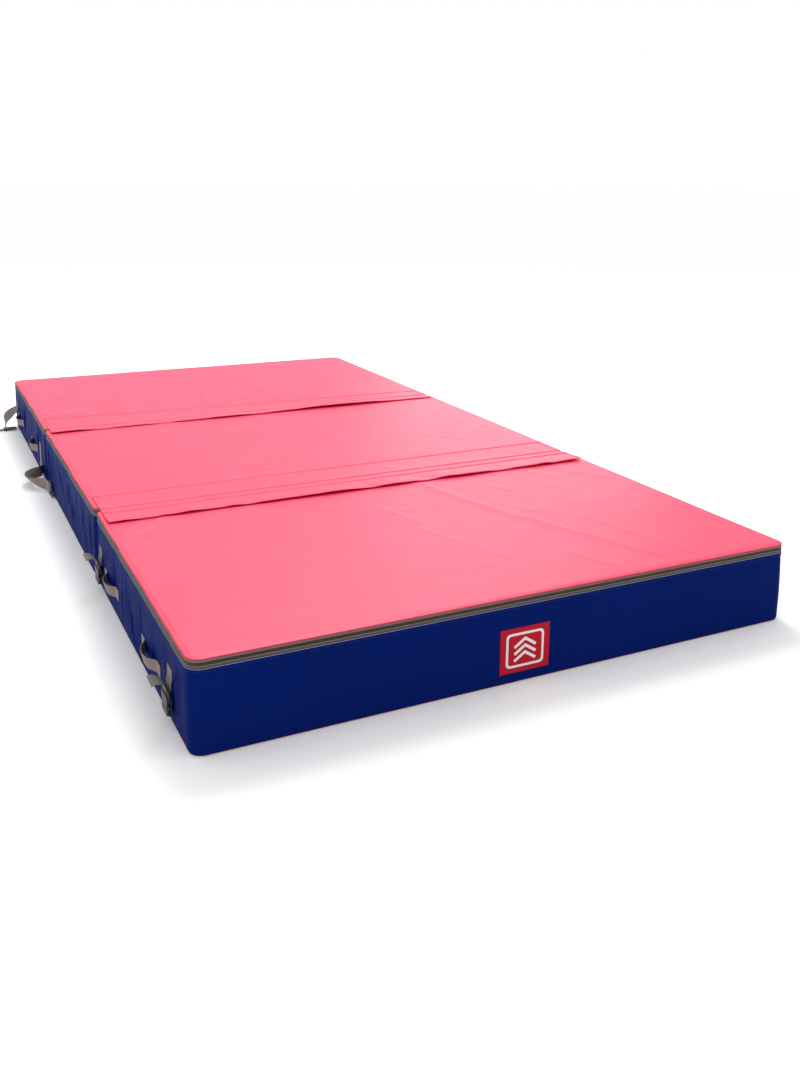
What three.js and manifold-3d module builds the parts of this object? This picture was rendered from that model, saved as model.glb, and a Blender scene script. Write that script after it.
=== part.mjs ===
// A three-panel folding crash landing mat, in millimetres, +Z up.
//
// The origin is the centre of the underside. +Y runs along the mat, away from the badge wall, and
// +X runs across it. The near panel folds up and over on its top joint, and the far panel folds
// down and under on its bottom joint, so the three panels stack in a Z.
import * as THREE from 'three';
import { mergeVertices } from 'three/addons/utils/BufferGeometryUtils.js';
import Module from 'manifold-3d';

const wasm = await Module();
wasm.setup();

// Driving dimensions.
const LENGTH = 3000;
const WIDTH = 1500;
const HEIGHT = 200;
const PANEL_GAP = 6;
const CORNER_RADIUS = 30;
const VINYL = 1.2;
const TOUCH = 0.3;
const ARC_STEPS = 3;

// The zip runs round each panel just below the top edge.
const ZIP_BOTTOM = 179;
const ZIP_MIDDLE = 189;
const COIL_HEIGHT = 1.9;
const COIL_PROUD = 1.4;

// The foam core is a soft block with a firmer layer bonded on top.
const FIRM_FOAM = 30;

// Cover flaps and hinge strips, measured across a joint.
const TOP_LEAF_REACH = 70;
const BOTTOM_LEAF_HEIGHT = 60;
const LEAF = 1;
const FLAP_INSET = 12;
const NEAR_FLAP_FRONT_REACH = 132;
const NEAR_FLAP_REAR_REACH = 118;
const FAR_FLAP_FRONT_REACH = 72;
const FAR_FLAP_REAR_REACH = 170;

// Webbing, and the places of handles and straps, measured from a panel's centre.
const HANDLE_WEBBING = 30;
const HANDLE_THICKNESS = 2.4;
const HANDLE_LENGTH = 180;
const HANDLE_FOOT = 24;
const HANDLE_BULGE = 18;
const HANDLE_BOTTOM = 56;
const HANDLE_PLACES = [-168, 279];
const STRAP_WEBBING = 38;
const STRAP_THICKNESS = 1.8;
const STRAP_TOP = 122;
const STRAP_PLACES = [-343, 427];

// Side-release buckle for the strap webbing. Its bar is a flat cross bar in a frame.
const BUCKLE_WIDTH = 50;
const BUCKLE_PLATE = 5;
const BUCKLE_SLOT = STRAP_WEBBING + 1.2;
const BAR_HEIGHT = 4.6;
const BAR_CLEARANCE = STRAP_THICKNESS / 2 + BUCKLE_PLATE / 2 + TOUCH;

// The sewn badge on the front wall.
const BADGE = { width: 126, height: 104, x: -13, z: 77 };

const PANEL_LENGTH = (LENGTH - 2 * PANEL_GAP) / 3;
const PANEL_PITCH = PANEL_LENGTH + PANEL_GAP;
const HALF_WIDTH = WIDTH / 2;
const HALF_PANEL = PANEL_LENGTH / 2;
const JOINT_Y = PANEL_PITCH / 2;

function material(color, roughness, metalness = 0) {
  return new THREE.MeshStandardMaterial({ color, roughness, metalness });
}

const RED_VINYL = material(0xd81e3c, 0.42);
const NAVY_VINYL = material(0x0b2a72, 0.45);
const ZIP_TAPE = material(0x6a5f52, 0.8);
const SOFT_FOAM = material(0xd9d2bd, 0.95);
const DENSE_FOAM = material(0x8f969c, 0.9);
const WEBBING = material(0xb9b2a8, 0.85);
const BLACK_PLASTIC = material(0x111214, 0.4);
const ZINC = material(0x55575a, 0.35, 1);
const BADGE_RED = material(0xb5122b, 0.6);

function named(name, geometry, finish) {
  const mesh = new THREE.Mesh(geometry, finish);
  mesh.name = name;
  return mesh;
}

// Solids from outlines. An outline's first axis is across the mat or along it, as each name says.

function upright(outline, bottom, height) {
  const geometry = new THREE.ExtrudeGeometry(outline, {
    depth: height,
    bevelEnabled: false,
    curveSegments: ARC_STEPS,
  });
  return geometry.translate(0, 0, bottom);
}

// An (x, z) outline, extruded along Y and centred on y = 0.
function alongY(outline, width) {
  return upright(outline, -width / 2, width).rotateX(Math.PI / 2);
}

// A (y, z) outline, extruded along X from start.
function alongX(outline, start, width) {
  const turn = new THREE.Matrix4().makeBasis(
    new THREE.Vector3(0, 1, 0),
    new THREE.Vector3(0, 0, 1),
    new THREE.Vector3(1, 0, 0),
  );
  return upright(outline, start, width).applyMatrix4(turn);
}

function toManifold(geometry) {
  const bare = geometry.clone();
  bare.deleteAttribute('normal');
  bare.deleteAttribute('uv');
  const merged = mergeVertices(bare, 1e-4);
  return new wasm.Manifold(new wasm.Mesh({
    numProp: 3,
    vertProperties: new Float32Array(merged.attributes.position.array),
    triVerts: new Uint32Array(merged.index.array),
  }));
}

function toGeometry(manifold) {
  const mesh = manifold.getMesh();
  const geometry = new THREE.BufferGeometry();
  geometry.setAttribute('position', new THREE.BufferAttribute(mesh.vertProperties, 3));
  geometry.setIndex(new THREE.BufferAttribute(mesh.triVerts, 1));
  geometry.computeVertexNormals();
  return geometry;
}

function joined(first, ...others) {
  return toGeometry(others.reduce((sum, part) => sum.add(toManifold(part)), toManifold(first)));
}

function cut(base, ...tools) {
  return toGeometry(tools.reduce((rest, tool) => rest.subtract(toManifold(tool)), toManifold(base)));
}

function rectangle(left, right, bottom, top, radius = 0) {
  const outline = new THREE.Shape();
  if (radius === 0) {
    outline.moveTo(left, bottom);
    outline.lineTo(right, bottom);
    outline.lineTo(right, top);
    outline.lineTo(left, top);
    return outline;
  }
  outline.absarc(right - radius, bottom + radius, radius, -Math.PI / 2, 0);
  outline.absarc(right - radius, top - radius, radius, 0, Math.PI / 2);
  outline.absarc(left + radius, top - radius, radius, Math.PI / 2, Math.PI);
  outline.absarc(left + radius, bottom + radius, radius, Math.PI, 1.5 * Math.PI);
  return outline;
}

// The panel's plan outline, grown outward by an offset (or shrunk by a negative one).
function plan(offset) {
  const x = HALF_WIDTH + offset;
  const y = HALF_PANEL + offset;
  return rectangle(-x, x, -y, y, CORNER_RADIUS + offset);
}

function ring(outer, inner, bottom, height) {
  const outline = plan(outer);
  outline.holes.push(plan(inner));
  return upright(outline, bottom, height);
}

// A strip of webbing seen edge-on: a centre line, thickened evenly to both sides.
function strip(centreLine, thickness, divisions) {
  const points = centreLine.getPoints(divisions);
  const sides = [1, -1].map((sign) => points.map((point, i) => {
    const before = points[Math.max(i - 1, 0)];
    const after = points[Math.min(i + 1, points.length - 1)];
    const along = after.clone().sub(before).normalize();
    const half = (sign * thickness) / 2;
    return new THREE.Vector2(point.x - along.y * half, point.y + along.x * half);
  }));
  return new THREE.Shape([...sides[0], ...sides[1].reverse()]);
}

// Panels.

function zipTape(name, bottom, top, coilBottom) {
  const tape = ring(0, -VINYL, bottom, top - bottom);
  const coil = ring(COIL_PROUD, -VINYL / 2, coilBottom, COIL_HEIGHT);
  return named(name, joined(tape, coil), ZIP_TAPE);
}

function panel(place) {
  const sheetTop = HEIGHT - VINYL;
  const foamBottom = VINYL + TOUCH;
  const foamTop = sheetTop - TOUCH;
  const firmBottom = foamTop - FIRM_FOAM;
  const wallBottom = VINYL + TOUCH;
  const insideWall = -VINYL - TOUCH;
  const zipLowerTop = ZIP_MIDDLE - TOUCH / 2;
  const zipUpperBottom = ZIP_MIDDLE + TOUCH / 2;
  const wallHeight = ZIP_BOTTOM - TOUCH - wallBottom;
  const softHeight = firmBottom - TOUCH - foamBottom;
  return [
    named(`${place}_bottom_sheet`, upright(plan(0), 0, VINYL), RED_VINYL),
    named(`${place}_wall_band`, ring(0, -VINYL, wallBottom, wallHeight), NAVY_VINYL),
    named(`${place}_top_sheet`, upright(plan(0), sheetTop, VINYL), RED_VINYL),
    zipTape(`${place}_zip_lower_tape`, ZIP_BOTTOM, zipLowerTop, zipLowerTop - COIL_HEIGHT),
    zipTape(`${place}_zip_upper_tape`, zipUpperBottom, foamTop, zipUpperBottom),
    named(`${place}_foam_block`, upright(plan(insideWall), foamBottom, softHeight), SOFT_FOAM),
    named(`${place}_foam_top_layer`, upright(plan(insideWall), firmBottom, FIRM_FOAM), DENSE_FOAM),
  ];
}

// Zip slider and pull, on the right-hand wall. The slider's origin is on the wall at the coil.

const SLIDER = { length: 20, height: 13, back: 2, front: 5 };
const BRIDGE = { halfLength: 7, leg: 2, barX: 8.8, bar: 1.4 };
const PULL = { eye: 1.8, rim: 3.1, width: 9, length: 38, thickness: 1.6 };

function zipSlider(name) {
  const halfLength = SLIDER.length / 2;
  const halfHeight = SLIDER.height / 2;
  const face = rectangle(-halfLength, halfLength, -halfHeight, halfHeight, 3);
  const parts = [alongX(face, SLIDER.back, SLIDER.front - SLIDER.back)];
  for (const end of [-1, 1]) {
    const leg = rectangle(SLIDER.front - 1, BRIDGE.barX + BRIDGE.bar, -2, 2);
    const legY = end * (BRIDGE.halfLength - BRIDGE.leg / 2);
    parts.push(alongY(leg, BRIDGE.leg).translate(0, legY, 0));
  }
  const bar = new THREE.Shape().absarc(BRIDGE.barX, 0, BRIDGE.bar, 0, 2 * Math.PI);
  parts.push(alongY(bar, 2 * BRIDGE.halfLength - BRIDGE.leg));
  return named(name, joined(...parts), ZINC);
}

function zipPull(name) {
  const half = PULL.thickness / 2;
  const root = Math.asin(half / PULL.rim);
  const outline = new THREE.Shape();
  outline.absarc(0, 0, PULL.rim, -Math.PI / 2 + root, 1.5 * Math.PI - root);
  outline.lineTo(-half, -PULL.length + half);
  outline.absarc(0, -PULL.length + half, half, Math.PI, 2 * Math.PI);
  outline.holes.push(new THREE.Path().absarc(0, 0, PULL.eye, 0, 2 * Math.PI));
  return named(name, alongY(outline, PULL.width), ZINC);
}

const SLIDER_PARKED_Y = 290;

function zipHardware(place) {
  const group = new THREE.Group();
  group.position.set(HALF_WIDTH, SLIDER_PARKED_Y, ZIP_MIDDLE);
  const pull = zipPull(`${place}_zip_pull`);
  pull.position.x = BRIDGE.barX;
  group.add(zipSlider(`${place}_zip_slider`), pull);
  return group;
}

// Webbing pieces on a long wall. Their outlines use u, the distance out from the wall's face, and
// side is -1 on the left wall and 1 on the right.

function handle(name, side) {
  const u = (distance) => side * distance;
  const flat = TOUCH + HANDLE_THICKNESS / 2;
  const end = HANDLE_LENGTH / 2;
  const rise = end - HANDLE_FOOT;
  const line = new THREE.Path().moveTo(u(flat), -end);
  line.lineTo(u(flat), -rise);
  line.bezierCurveTo(u(flat), -rise * 0.6, u(HANDLE_BULGE), -rise * 0.75, u(HANDLE_BULGE), 0);
  line.bezierCurveTo(u(HANDLE_BULGE), rise * 0.75, u(flat), rise * 0.6, u(flat), rise);
  line.lineTo(u(flat), end);
  return named(name, upright(strip(line, HANDLE_THICKNESS, 8), HANDLE_BOTTOM, HANDLE_WEBBING), WEBBING);
}

// The short strap on the near panel hangs in a J, with the socket's bar in the J's loop.
const SOCKET_BAR = { u: 9, z: 78 };
const SOCKET = { shoulder: 66, mouth: 26, thickness: 11, pocketTop: 56 };
const LOOP_RADIUS = 4.4;

function socketStrap(name, side) {
  const u = (distance) => side * distance;
  const flat = TOUCH + STRAP_THICKNESS / 2;
  const inside = SOCKET_BAR.u - LOOP_RADIUS;
  const outside = SOCKET_BAR.u + LOOP_RADIUS;
  const line = new THREE.Path().moveTo(u(flat), STRAP_TOP);
  line.lineTo(u(flat), STRAP_TOP - 16);
  line.bezierCurveTo(u(flat), STRAP_TOP - 28, u(inside), 96, u(inside), SOCKET_BAR.z);
  const [from, to] = side > 0 ? [Math.PI, 2 * Math.PI] : [0, -Math.PI];
  line.absarc(u(SOCKET_BAR.u), SOCKET_BAR.z, LOOP_RADIUS, from, to, side < 0);
  line.bezierCurveTo(u(outside), 92, u(24), 104, u(44), 97);
  return named(name, alongY(strip(line, STRAP_THICKNESS, 8), STRAP_WEBBING), WEBBING);
}

// The socket is a hollow body, open at the mouth and at both sides, under a frame with the bar.
function buckleSocket(name, side) {
  const half = BUCKLE_WIDTH / 2;
  const bodyHalf = SOCKET.thickness / 2;
  const barTop = SOCKET_BAR.z + BAR_HEIGHT / 2;
  const barBottom = SOCKET_BAR.z - BAR_HEIGHT / 2;
  const slotHalf = BUCKLE_SLOT / 2;
  const pocketHalf = BUCKLE_PLATE / 2 + TOUCH;
  const mouth = SOCKET.mouth;
  const centred = (outline, thickness) => alongX(outline, side * SOCKET_BAR.u - thickness / 2, thickness);
  const frame = centred(rectangle(-half, half, SOCKET.shoulder - 8, barTop, 4), BUCKLE_PLATE);
  const body = centred(rectangle(-half, half, mouth, SOCKET.shoulder, 5), 2 * bodyHalf);
  const slot = centred(rectangle(-slotHalf, slotHalf, SOCKET.shoulder + 1, barBottom), 2 * bodyHalf);
  const pocket = centred(rectangle(-slotHalf, slotHalf, mouth - 1, SOCKET.pocketTop), 2 * pocketHalf);
  const windows = centred(rectangle(-half - 1, half + 1, mouth + 14, mouth + 27), 2 * pocketHalf);
  return named(name, cut(joined(frame, body), slot, pocket, windows), BLACK_PLASTIC);
}

// The plug lies in its own (a, c) plane: a runs from the bar to the prongs, and c along the bar.
const PLUG = { back: -2.8, slotStart: 2.8, slotEnd: 9.4, base: 15, tip: 50 };

function plugOutline() {
  const half = BUCKLE_WIDTH / 2;
  const slotHalf = BUCKLE_SLOT / 2;
  const outline = new THREE.Shape();
  outline.moveTo(PLUG.back, -half);
  outline.lineTo(PLUG.base, -half);
  for (const [a, c] of [[26, -half + 3], [33, -half + 3], [45, -half + 9], [PLUG.tip, -half + 13]]) {
    outline.lineTo(a, c);
  }
  outline.lineTo(PLUG.tip - 8, -9);
  outline.lineTo(34, -15);
  outline.lineTo(PLUG.base, -15);
  outline.lineTo(PLUG.base, -4);
  outline.lineTo(44, -3);
  outline.lineTo(44, 3);
  outline.lineTo(PLUG.base, 4);
  outline.lineTo(PLUG.base, 15);
  outline.lineTo(34, 15);
  outline.lineTo(PLUG.tip - 8, 9);
  for (const [a, c] of [[PLUG.tip, half - 13], [45, half - 9], [33, half - 3], [26, half - 3]]) {
    outline.lineTo(a, c);
  }
  outline.lineTo(PLUG.base, half);
  outline.lineTo(PLUG.back, half);
  outline.holes.push(rectangle(PLUG.slotStart, PLUG.slotEnd, -slotHalf, slotHalf));
  return outline;
}

function bucklePlug(name) {
  return named(name, upright(plugOutline(), -BUCKLE_PLATE / 2, BUCKLE_PLATE), BLACK_PLASTIC);
}

// The rear strap on the far panel slopes out to the floor, goes through the plug's slot and under
// its bar, and ends in a tail that lies on the floor.
const FLOOR_PLUG = { u: 58, z: TOUCH + STRAP_THICKNESS + TOUCH + BUCKLE_PLATE / 2 };
const TAIL_END = 136;

function slopingStrap(name, side) {
  const u = (distance) => side * distance;
  const flat = TOUCH + STRAP_THICKNESS / 2;
  const slotMiddle = FLOOR_PLUG.u - (PLUG.slotStart + PLUG.slotEnd) / 2;
  const bend = 3;
  const line = new THREE.Path().moveTo(u(flat), STRAP_TOP);
  line.lineTo(u(flat), STRAP_TOP - 14);
  line.bezierCurveTo(u(flat + 2), 74, u(slotMiddle), 82, u(slotMiddle), 22);
  line.lineTo(u(slotMiddle), flat + bend);
  const [from, to] = side > 0 ? [Math.PI, 1.5 * Math.PI] : [0, -Math.PI / 2];
  line.absarc(u(slotMiddle + bend), flat + bend, bend, from, to, side < 0);
  line.lineTo(u(TAIL_END), flat);
  return named(name, alongY(strip(line, STRAP_THICKNESS, 10), STRAP_WEBBING), WEBBING);
}

// The front strap on the far panel drops down the wall, then runs forward on its edge in a bow
// beside the middle panel, wraps the plug's bar and ends in a short tail.
const BOW = { reach: 62, run: 290, plugU: 9, centreZ: 26, tail: 36 };

function bowedStrap(name, side) {
  const u = (distance) => side * distance;
  const flat = TOUCH + STRAP_THICKNESS / 2;
  const half = STRAP_WEBBING / 2;
  const outer = BOW.plugU + BAR_CLEARANCE;
  const turnY = -BOW.run - PLUG.slotStart;
  const line = new THREE.Path().moveTo(u(flat), half);
  line.lineTo(u(flat), -half);
  line.bezierCurveTo(u(flat), -BOW.run * 0.3, u(BOW.reach), -BOW.run * 0.2, u(BOW.reach), -BOW.run * 0.5);
  line.bezierCurveTo(u(BOW.reach), -BOW.run * 0.75, u(outer), -BOW.run * 0.7, u(outer), -BOW.run * 0.92);
  line.lineTo(u(outer), turnY);
  const [from, to] = side > 0 ? [0, -Math.PI] : [Math.PI, 2 * Math.PI];
  line.absarc(u(BOW.plugU), turnY, BAR_CLEARANCE, from, to, side > 0);
  line.lineTo(u(outer - 2 * BAR_CLEARANCE), turnY + BOW.tail);
  const bow = upright(strip(line, STRAP_THICKNESS, 10), BOW.centreZ - half, STRAP_WEBBING);
  const near = TOUCH;
  const far = TOUCH + STRAP_THICKNESS;
  const dropFoot = BOW.centreZ - half;
  const drop = alongX(
    rectangle(-half, half, dropFoot, STRAP_TOP),
    Math.min(u(near), u(far)),
    STRAP_THICKNESS,
  );
  return named(name, joined(bow, drop), WEBBING);
}

function nearStraps(side, sideName) {
  return ['front', 'rear'].map((end, i) => {
    const group = new THREE.Group();
    group.position.set(side * HALF_WIDTH, STRAP_PLACES[i], 0);
    group.add(socketStrap(`near_${sideName}_${end}_strap`, side));
    group.add(buckleSocket(`near_${sideName}_${end}_buckle_socket`, side));
    return group;
  });
}

function farFrontStrap(side, sideName) {
  const group = new THREE.Group();
  group.position.set(side * HALF_WIDTH, STRAP_PLACES[0], 0);
  const plug = bucklePlug(`far_${sideName}_front_buckle_plug`);
  // Prongs point forward, and the bar stands upright.
  plug.setRotationFromMatrix(new THREE.Matrix4().makeBasis(
    new THREE.Vector3(0, -1, 0),
    new THREE.Vector3(0, 0, 1),
    new THREE.Vector3(-1, 0, 0),
  ));
  plug.position.set(side * BOW.plugU, -BOW.run, BOW.centreZ);
  group.add(bowedStrap(`far_${sideName}_front_strap`, side), plug);
  return group;
}

function farRearStrap(side, sideName) {
  const group = new THREE.Group();
  group.position.set(side * HALF_WIDTH, STRAP_PLACES[1], 0);
  const plug = bucklePlug(`far_${sideName}_rear_buckle_plug`);
  // Prongs point back at the wall, and the plug lies flat.
  plug.rotation.z = side > 0 ? Math.PI : 0;
  plug.position.set(side * FLOOR_PLUG.u, 0, FLOOR_PLUG.z);
  group.add(slopingStrap(`far_${sideName}_rear_strap`, side), plug);
  return group;
}

function handles(place, side, sideName) {
  return ['front', 'rear'].map((end, i) => {
    const mesh = handle(`${place}_${sideName}_${end}_handle`, side);
    mesh.position.set(side * HALF_WIDTH, HANDLE_PLACES[i], 0);
    return mesh;
  });
}

// Joints between panels. Top leaves lie flat under the near flap, bottom leaves stand in the gap.

function flatPiece(name, yFrom, yTo, bottom, thickness, finish) {
  const x = HALF_WIDTH - FLAP_INSET;
  return named(name, upright(rectangle(-x, x, yFrom, yTo), bottom, thickness), finish);
}

function nearJoint() {
  const leafBottom = HEIGHT + TOUCH;
  const flapBottom = leafBottom + LEAF + TOUCH;
  const group = new THREE.Group();
  group.position.y = -JOINT_Y;
  group.add(
    flatPiece('near_joint_hinge_leaf_front', -TOP_LEAF_REACH, -TOUCH, leafBottom, LEAF, NAVY_VINYL),
    flatPiece('near_joint_hinge_leaf_rear', TOUCH, TOP_LEAF_REACH, leafBottom, LEAF, NAVY_VINYL),
    flatPiece('near_joint_flap_front', -NEAR_FLAP_FRONT_REACH, -TOUCH, flapBottom, LEAF, RED_VINYL),
    flatPiece('near_joint_flap_rear', TOUCH, NEAR_FLAP_REAR_REACH, flapBottom, LEAF, RED_VINYL),
  );
  return group;
}

function farJoint() {
  const group = new THREE.Group();
  group.position.y = JOINT_Y;
  const x = HALF_WIDTH - CORNER_RADIUS - 10;
  const wall = PANEL_GAP / 2 - TOUCH;
  const leaf = (name, yFrom) => named(
    name,
    alongX(rectangle(yFrom, yFrom + LEAF, TOUCH, BOTTOM_LEAF_HEIGHT), -x, 2 * x),
    NAVY_VINYL,
  );
  group.add(
    leaf('far_joint_hinge_leaf_front', -wall),
    leaf('far_joint_hinge_leaf_rear', wall - LEAF),
    flatPiece('far_joint_flap', -FAR_FLAP_FRONT_REACH, FAR_FLAP_REAR_REACH, HEIGHT + TOUCH, LEAF, RED_VINYL),
  );
  return group;
}

function badge() {
  const { width, height, x, z } = BADGE;
  const outline = rectangle(-width / 2, width / 2, -height / 2, height / 2, 4);
  const mesh = named('front_badge', alongY(outline, VINYL), BADGE_RED);
  mesh.position.set(x, -PANEL_PITCH - HALF_PANEL - TOUCH - VINYL / 2, z);
  return mesh;
}

const SIDES = [[-1, 'left'], [1, 'right']];

function panelGroup(place, y) {
  const group = new THREE.Group();
  group.position.y = y;
  group.add(...panel(place), zipHardware(place));
  return group;
}

const nearPanel = panelGroup('near', -PANEL_PITCH);
const middlePanel = panelGroup('middle', 0);
const farPanel = panelGroup('far', PANEL_PITCH);
for (const [side, sideName] of SIDES) {
  nearPanel.add(...handles('near', side, sideName), ...nearStraps(side, sideName));
  farPanel.add(...handles('far', side, sideName));
  farPanel.add(farFrontStrap(side, sideName), farRearStrap(side, sideName));
}

const mat = new THREE.Group();
mat.add(nearPanel, middlePanel, farPanel, nearJoint(), farJoint(), badge());

export default mat;
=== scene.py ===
"""A three-panel folding crash landing mat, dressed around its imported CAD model.

Lengths are metres, in the CAD frame: +X across the mat, +Y along it, +Z up. Places come from the
CAD nodes' boxes. Each vinyl cover is a grid of points whose folds are added by formula, and each
seam, tape and strap is swept along a line on that cover.
"""
import math

import bmesh
import bpy
import numpy as np
from mathutils import Matrix, Vector


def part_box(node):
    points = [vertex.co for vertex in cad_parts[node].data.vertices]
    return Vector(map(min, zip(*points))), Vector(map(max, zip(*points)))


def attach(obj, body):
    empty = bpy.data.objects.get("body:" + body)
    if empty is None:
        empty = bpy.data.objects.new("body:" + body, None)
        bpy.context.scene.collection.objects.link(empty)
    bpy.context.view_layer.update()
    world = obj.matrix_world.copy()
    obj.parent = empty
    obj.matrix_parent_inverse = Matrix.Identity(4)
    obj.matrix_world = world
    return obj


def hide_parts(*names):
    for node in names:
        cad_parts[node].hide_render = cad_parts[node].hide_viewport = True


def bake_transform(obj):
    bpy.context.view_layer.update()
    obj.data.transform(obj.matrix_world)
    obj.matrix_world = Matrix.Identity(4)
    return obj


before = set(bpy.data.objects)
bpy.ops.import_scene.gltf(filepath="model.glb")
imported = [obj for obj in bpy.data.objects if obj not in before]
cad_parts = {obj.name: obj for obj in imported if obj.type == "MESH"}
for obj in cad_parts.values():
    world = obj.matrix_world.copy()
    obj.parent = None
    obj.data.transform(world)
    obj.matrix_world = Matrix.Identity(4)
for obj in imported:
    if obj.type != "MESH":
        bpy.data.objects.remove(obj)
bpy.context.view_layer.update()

PANELS = ("near", "middle", "far")
SIDES = {"left": -1.0, "right": 1.0}
ENDS = ("front", "rear")
MM = 0.001

# Heights and plan sizes, from the CAD nodes.
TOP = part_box("near_top_sheet")[1].z
HALF_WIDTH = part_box("near_top_sheet")[1].x
ZIP_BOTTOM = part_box("near_zip_lower_tape")[0].z
ZIP_MIDDLE = (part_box("near_zip_lower_tape")[1].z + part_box("near_zip_upper_tape")[0].z) / 2
FLAP_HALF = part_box("far_joint_flap")[1].x
NEAR_JOINT_Y = (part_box("near_top_sheet")[1].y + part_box("middle_top_sheet")[0].y) / 2
FAR_JOINT_Y = (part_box("middle_top_sheet")[1].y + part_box("far_top_sheet")[0].y) / 2
CORNER = 0.030
HANDLE_FOOT = 0.024
STRAP_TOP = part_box("near_left_front_strap")[1].z
STRAP_WIDTH = 0.038
WEBBING = 0.0018
BUCKLE_WIDTH = 0.050

# The covers' vinyl, how far its top edge drops to the zip, and over what width it rounds.
VINYL = 0.8 * MM
EDGE_DROP = 3.2 * MM
EDGE_ROUND = 12 * MM


def strap_place(panel, side_name, end):
    """Where a strap hangs, along the mat."""
    if panel == "near":
        low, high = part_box(f"near_{side_name}_{end}_buckle_socket")
        return (low.y + high.y) / 2
    low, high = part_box(f"far_{side_name}_{end}_strap")
    return high.y - STRAP_WIDTH / 2


def plan_of(panel):
    low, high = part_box(f"{panel}_top_sheet")
    return low.x, low.y, high.x, high.y


# ---------------------------------------------------------------- camera, light and floor

# The camera's turn in radians, its place, and its lens in millimetres on a 36 mm sensor.
CAMERA_YAW = 0.46948
CAMERA_PITCH = 0.17679
CAMERA_ROLL = 0.0089
CAMERA_PLACE = (-1.1912, -3.3541, 1.0981)
CAMERA_LENS = 35.11
CAMERA_SHIFT_X = -0.0275
CAMERA_SHIFT_Y = -0.1665


def make_camera():
    """Looks along the mat from above its near left corner, with the frame shifted to suit."""
    yaw, pitch, roll = CAMERA_YAW, CAMERA_PITCH, CAMERA_ROLL
    forward = Vector((math.sin(yaw) * math.cos(pitch), math.cos(yaw) * math.cos(pitch), -math.sin(pitch)))
    level = Vector((math.cos(yaw), -math.sin(yaw), 0))
    lift = level.cross(forward)
    right = level * math.cos(roll) + lift * math.sin(roll)
    up = lift * math.cos(roll) - level * math.sin(roll)
    data = bpy.data.cameras.new("camera")
    data.sensor_width = 36
    data.lens = CAMERA_LENS
    data.shift_x = CAMERA_SHIFT_X
    data.shift_y = CAMERA_SHIFT_Y
    data.clip_end = 100
    camera = bpy.data.objects.new("camera", data)
    turn = Matrix((right, up, -forward)).transposed().to_4x4()
    camera.matrix_world = Matrix.Translation(CAMERA_PLACE) @ turn
    bpy.context.scene.collection.objects.link(camera)
    bpy.context.scene.camera = camera


def area_light(name, place, aim, size, watts):
    """A white rectangle of light, size (width, height), unseen by the camera."""
    data = bpy.data.lights.new(name, "AREA")
    data.shape = "RECTANGLE"
    data.size = size[0]
    data.size_y = size[1]
    data.energy = watts
    light = bpy.data.objects.new(name, data)
    light.location = place
    light.rotation_euler = (Vector(aim) - Vector(place)).to_track_quat("-Z", "Y").to_euler()
    light.visible_camera = False
    bpy.context.scene.collection.objects.link(light)


FLOOR_HALF = 60.0
FLOOR_WHITE = 0.985


def make_studio():
    """A white floor and room, a soft key light high up, and a low sheen light behind on the right."""
    scene = bpy.context.scene
    scene.view_settings.view_transform = "Standard"
    scene.view_settings.look = "None"
    world = bpy.data.worlds.new("studio")
    world.use_nodes = True
    world.node_tree.nodes["Background"].inputs["Color"].default_value = (1.0, 1.0, 1.0, 1)
    world.node_tree.nodes["Background"].inputs["Strength"].default_value = 1.0
    scene.world = world
    area_light("key", (1.0, 2.2, 4.6), (0.0, 0.0, 0), (2.4, 2.4), 170)
    area_light("sheen", (2.9, 3.3, 1.45), (0.35, -0.3, 0.2), (2.0, 1.0), 17)
    half = FLOOR_HALF
    floor_mesh = bpy.data.meshes.new("floor")
    corners = [(-half, -half, 0), (half, -half, 0), (half, half, 0), (-half, half, 0)]
    floor_mesh.from_pydata(corners, [], [(0, 1, 2, 3)])
    floor = bpy.data.objects.new("floor", floor_mesh)
    floor.location.z = -0.5 * MM
    scene.collection.objects.link(floor)
    paint = bpy.data.materials.new("floor_paint")
    paint.use_nodes = True
    shader = paint.node_tree.nodes["Principled BSDF"]
    shader.inputs["Base Color"].default_value = (FLOOR_WHITE, FLOOR_WHITE, FLOOR_WHITE, 1)
    shader.inputs["Roughness"].default_value = 1.0
    shader.inputs["Specular IOR Level"].default_value = 0.0
    floor_mesh.materials.append(paint)


make_camera()
make_studio()

# ---------------------------------------------------------------- materials


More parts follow.
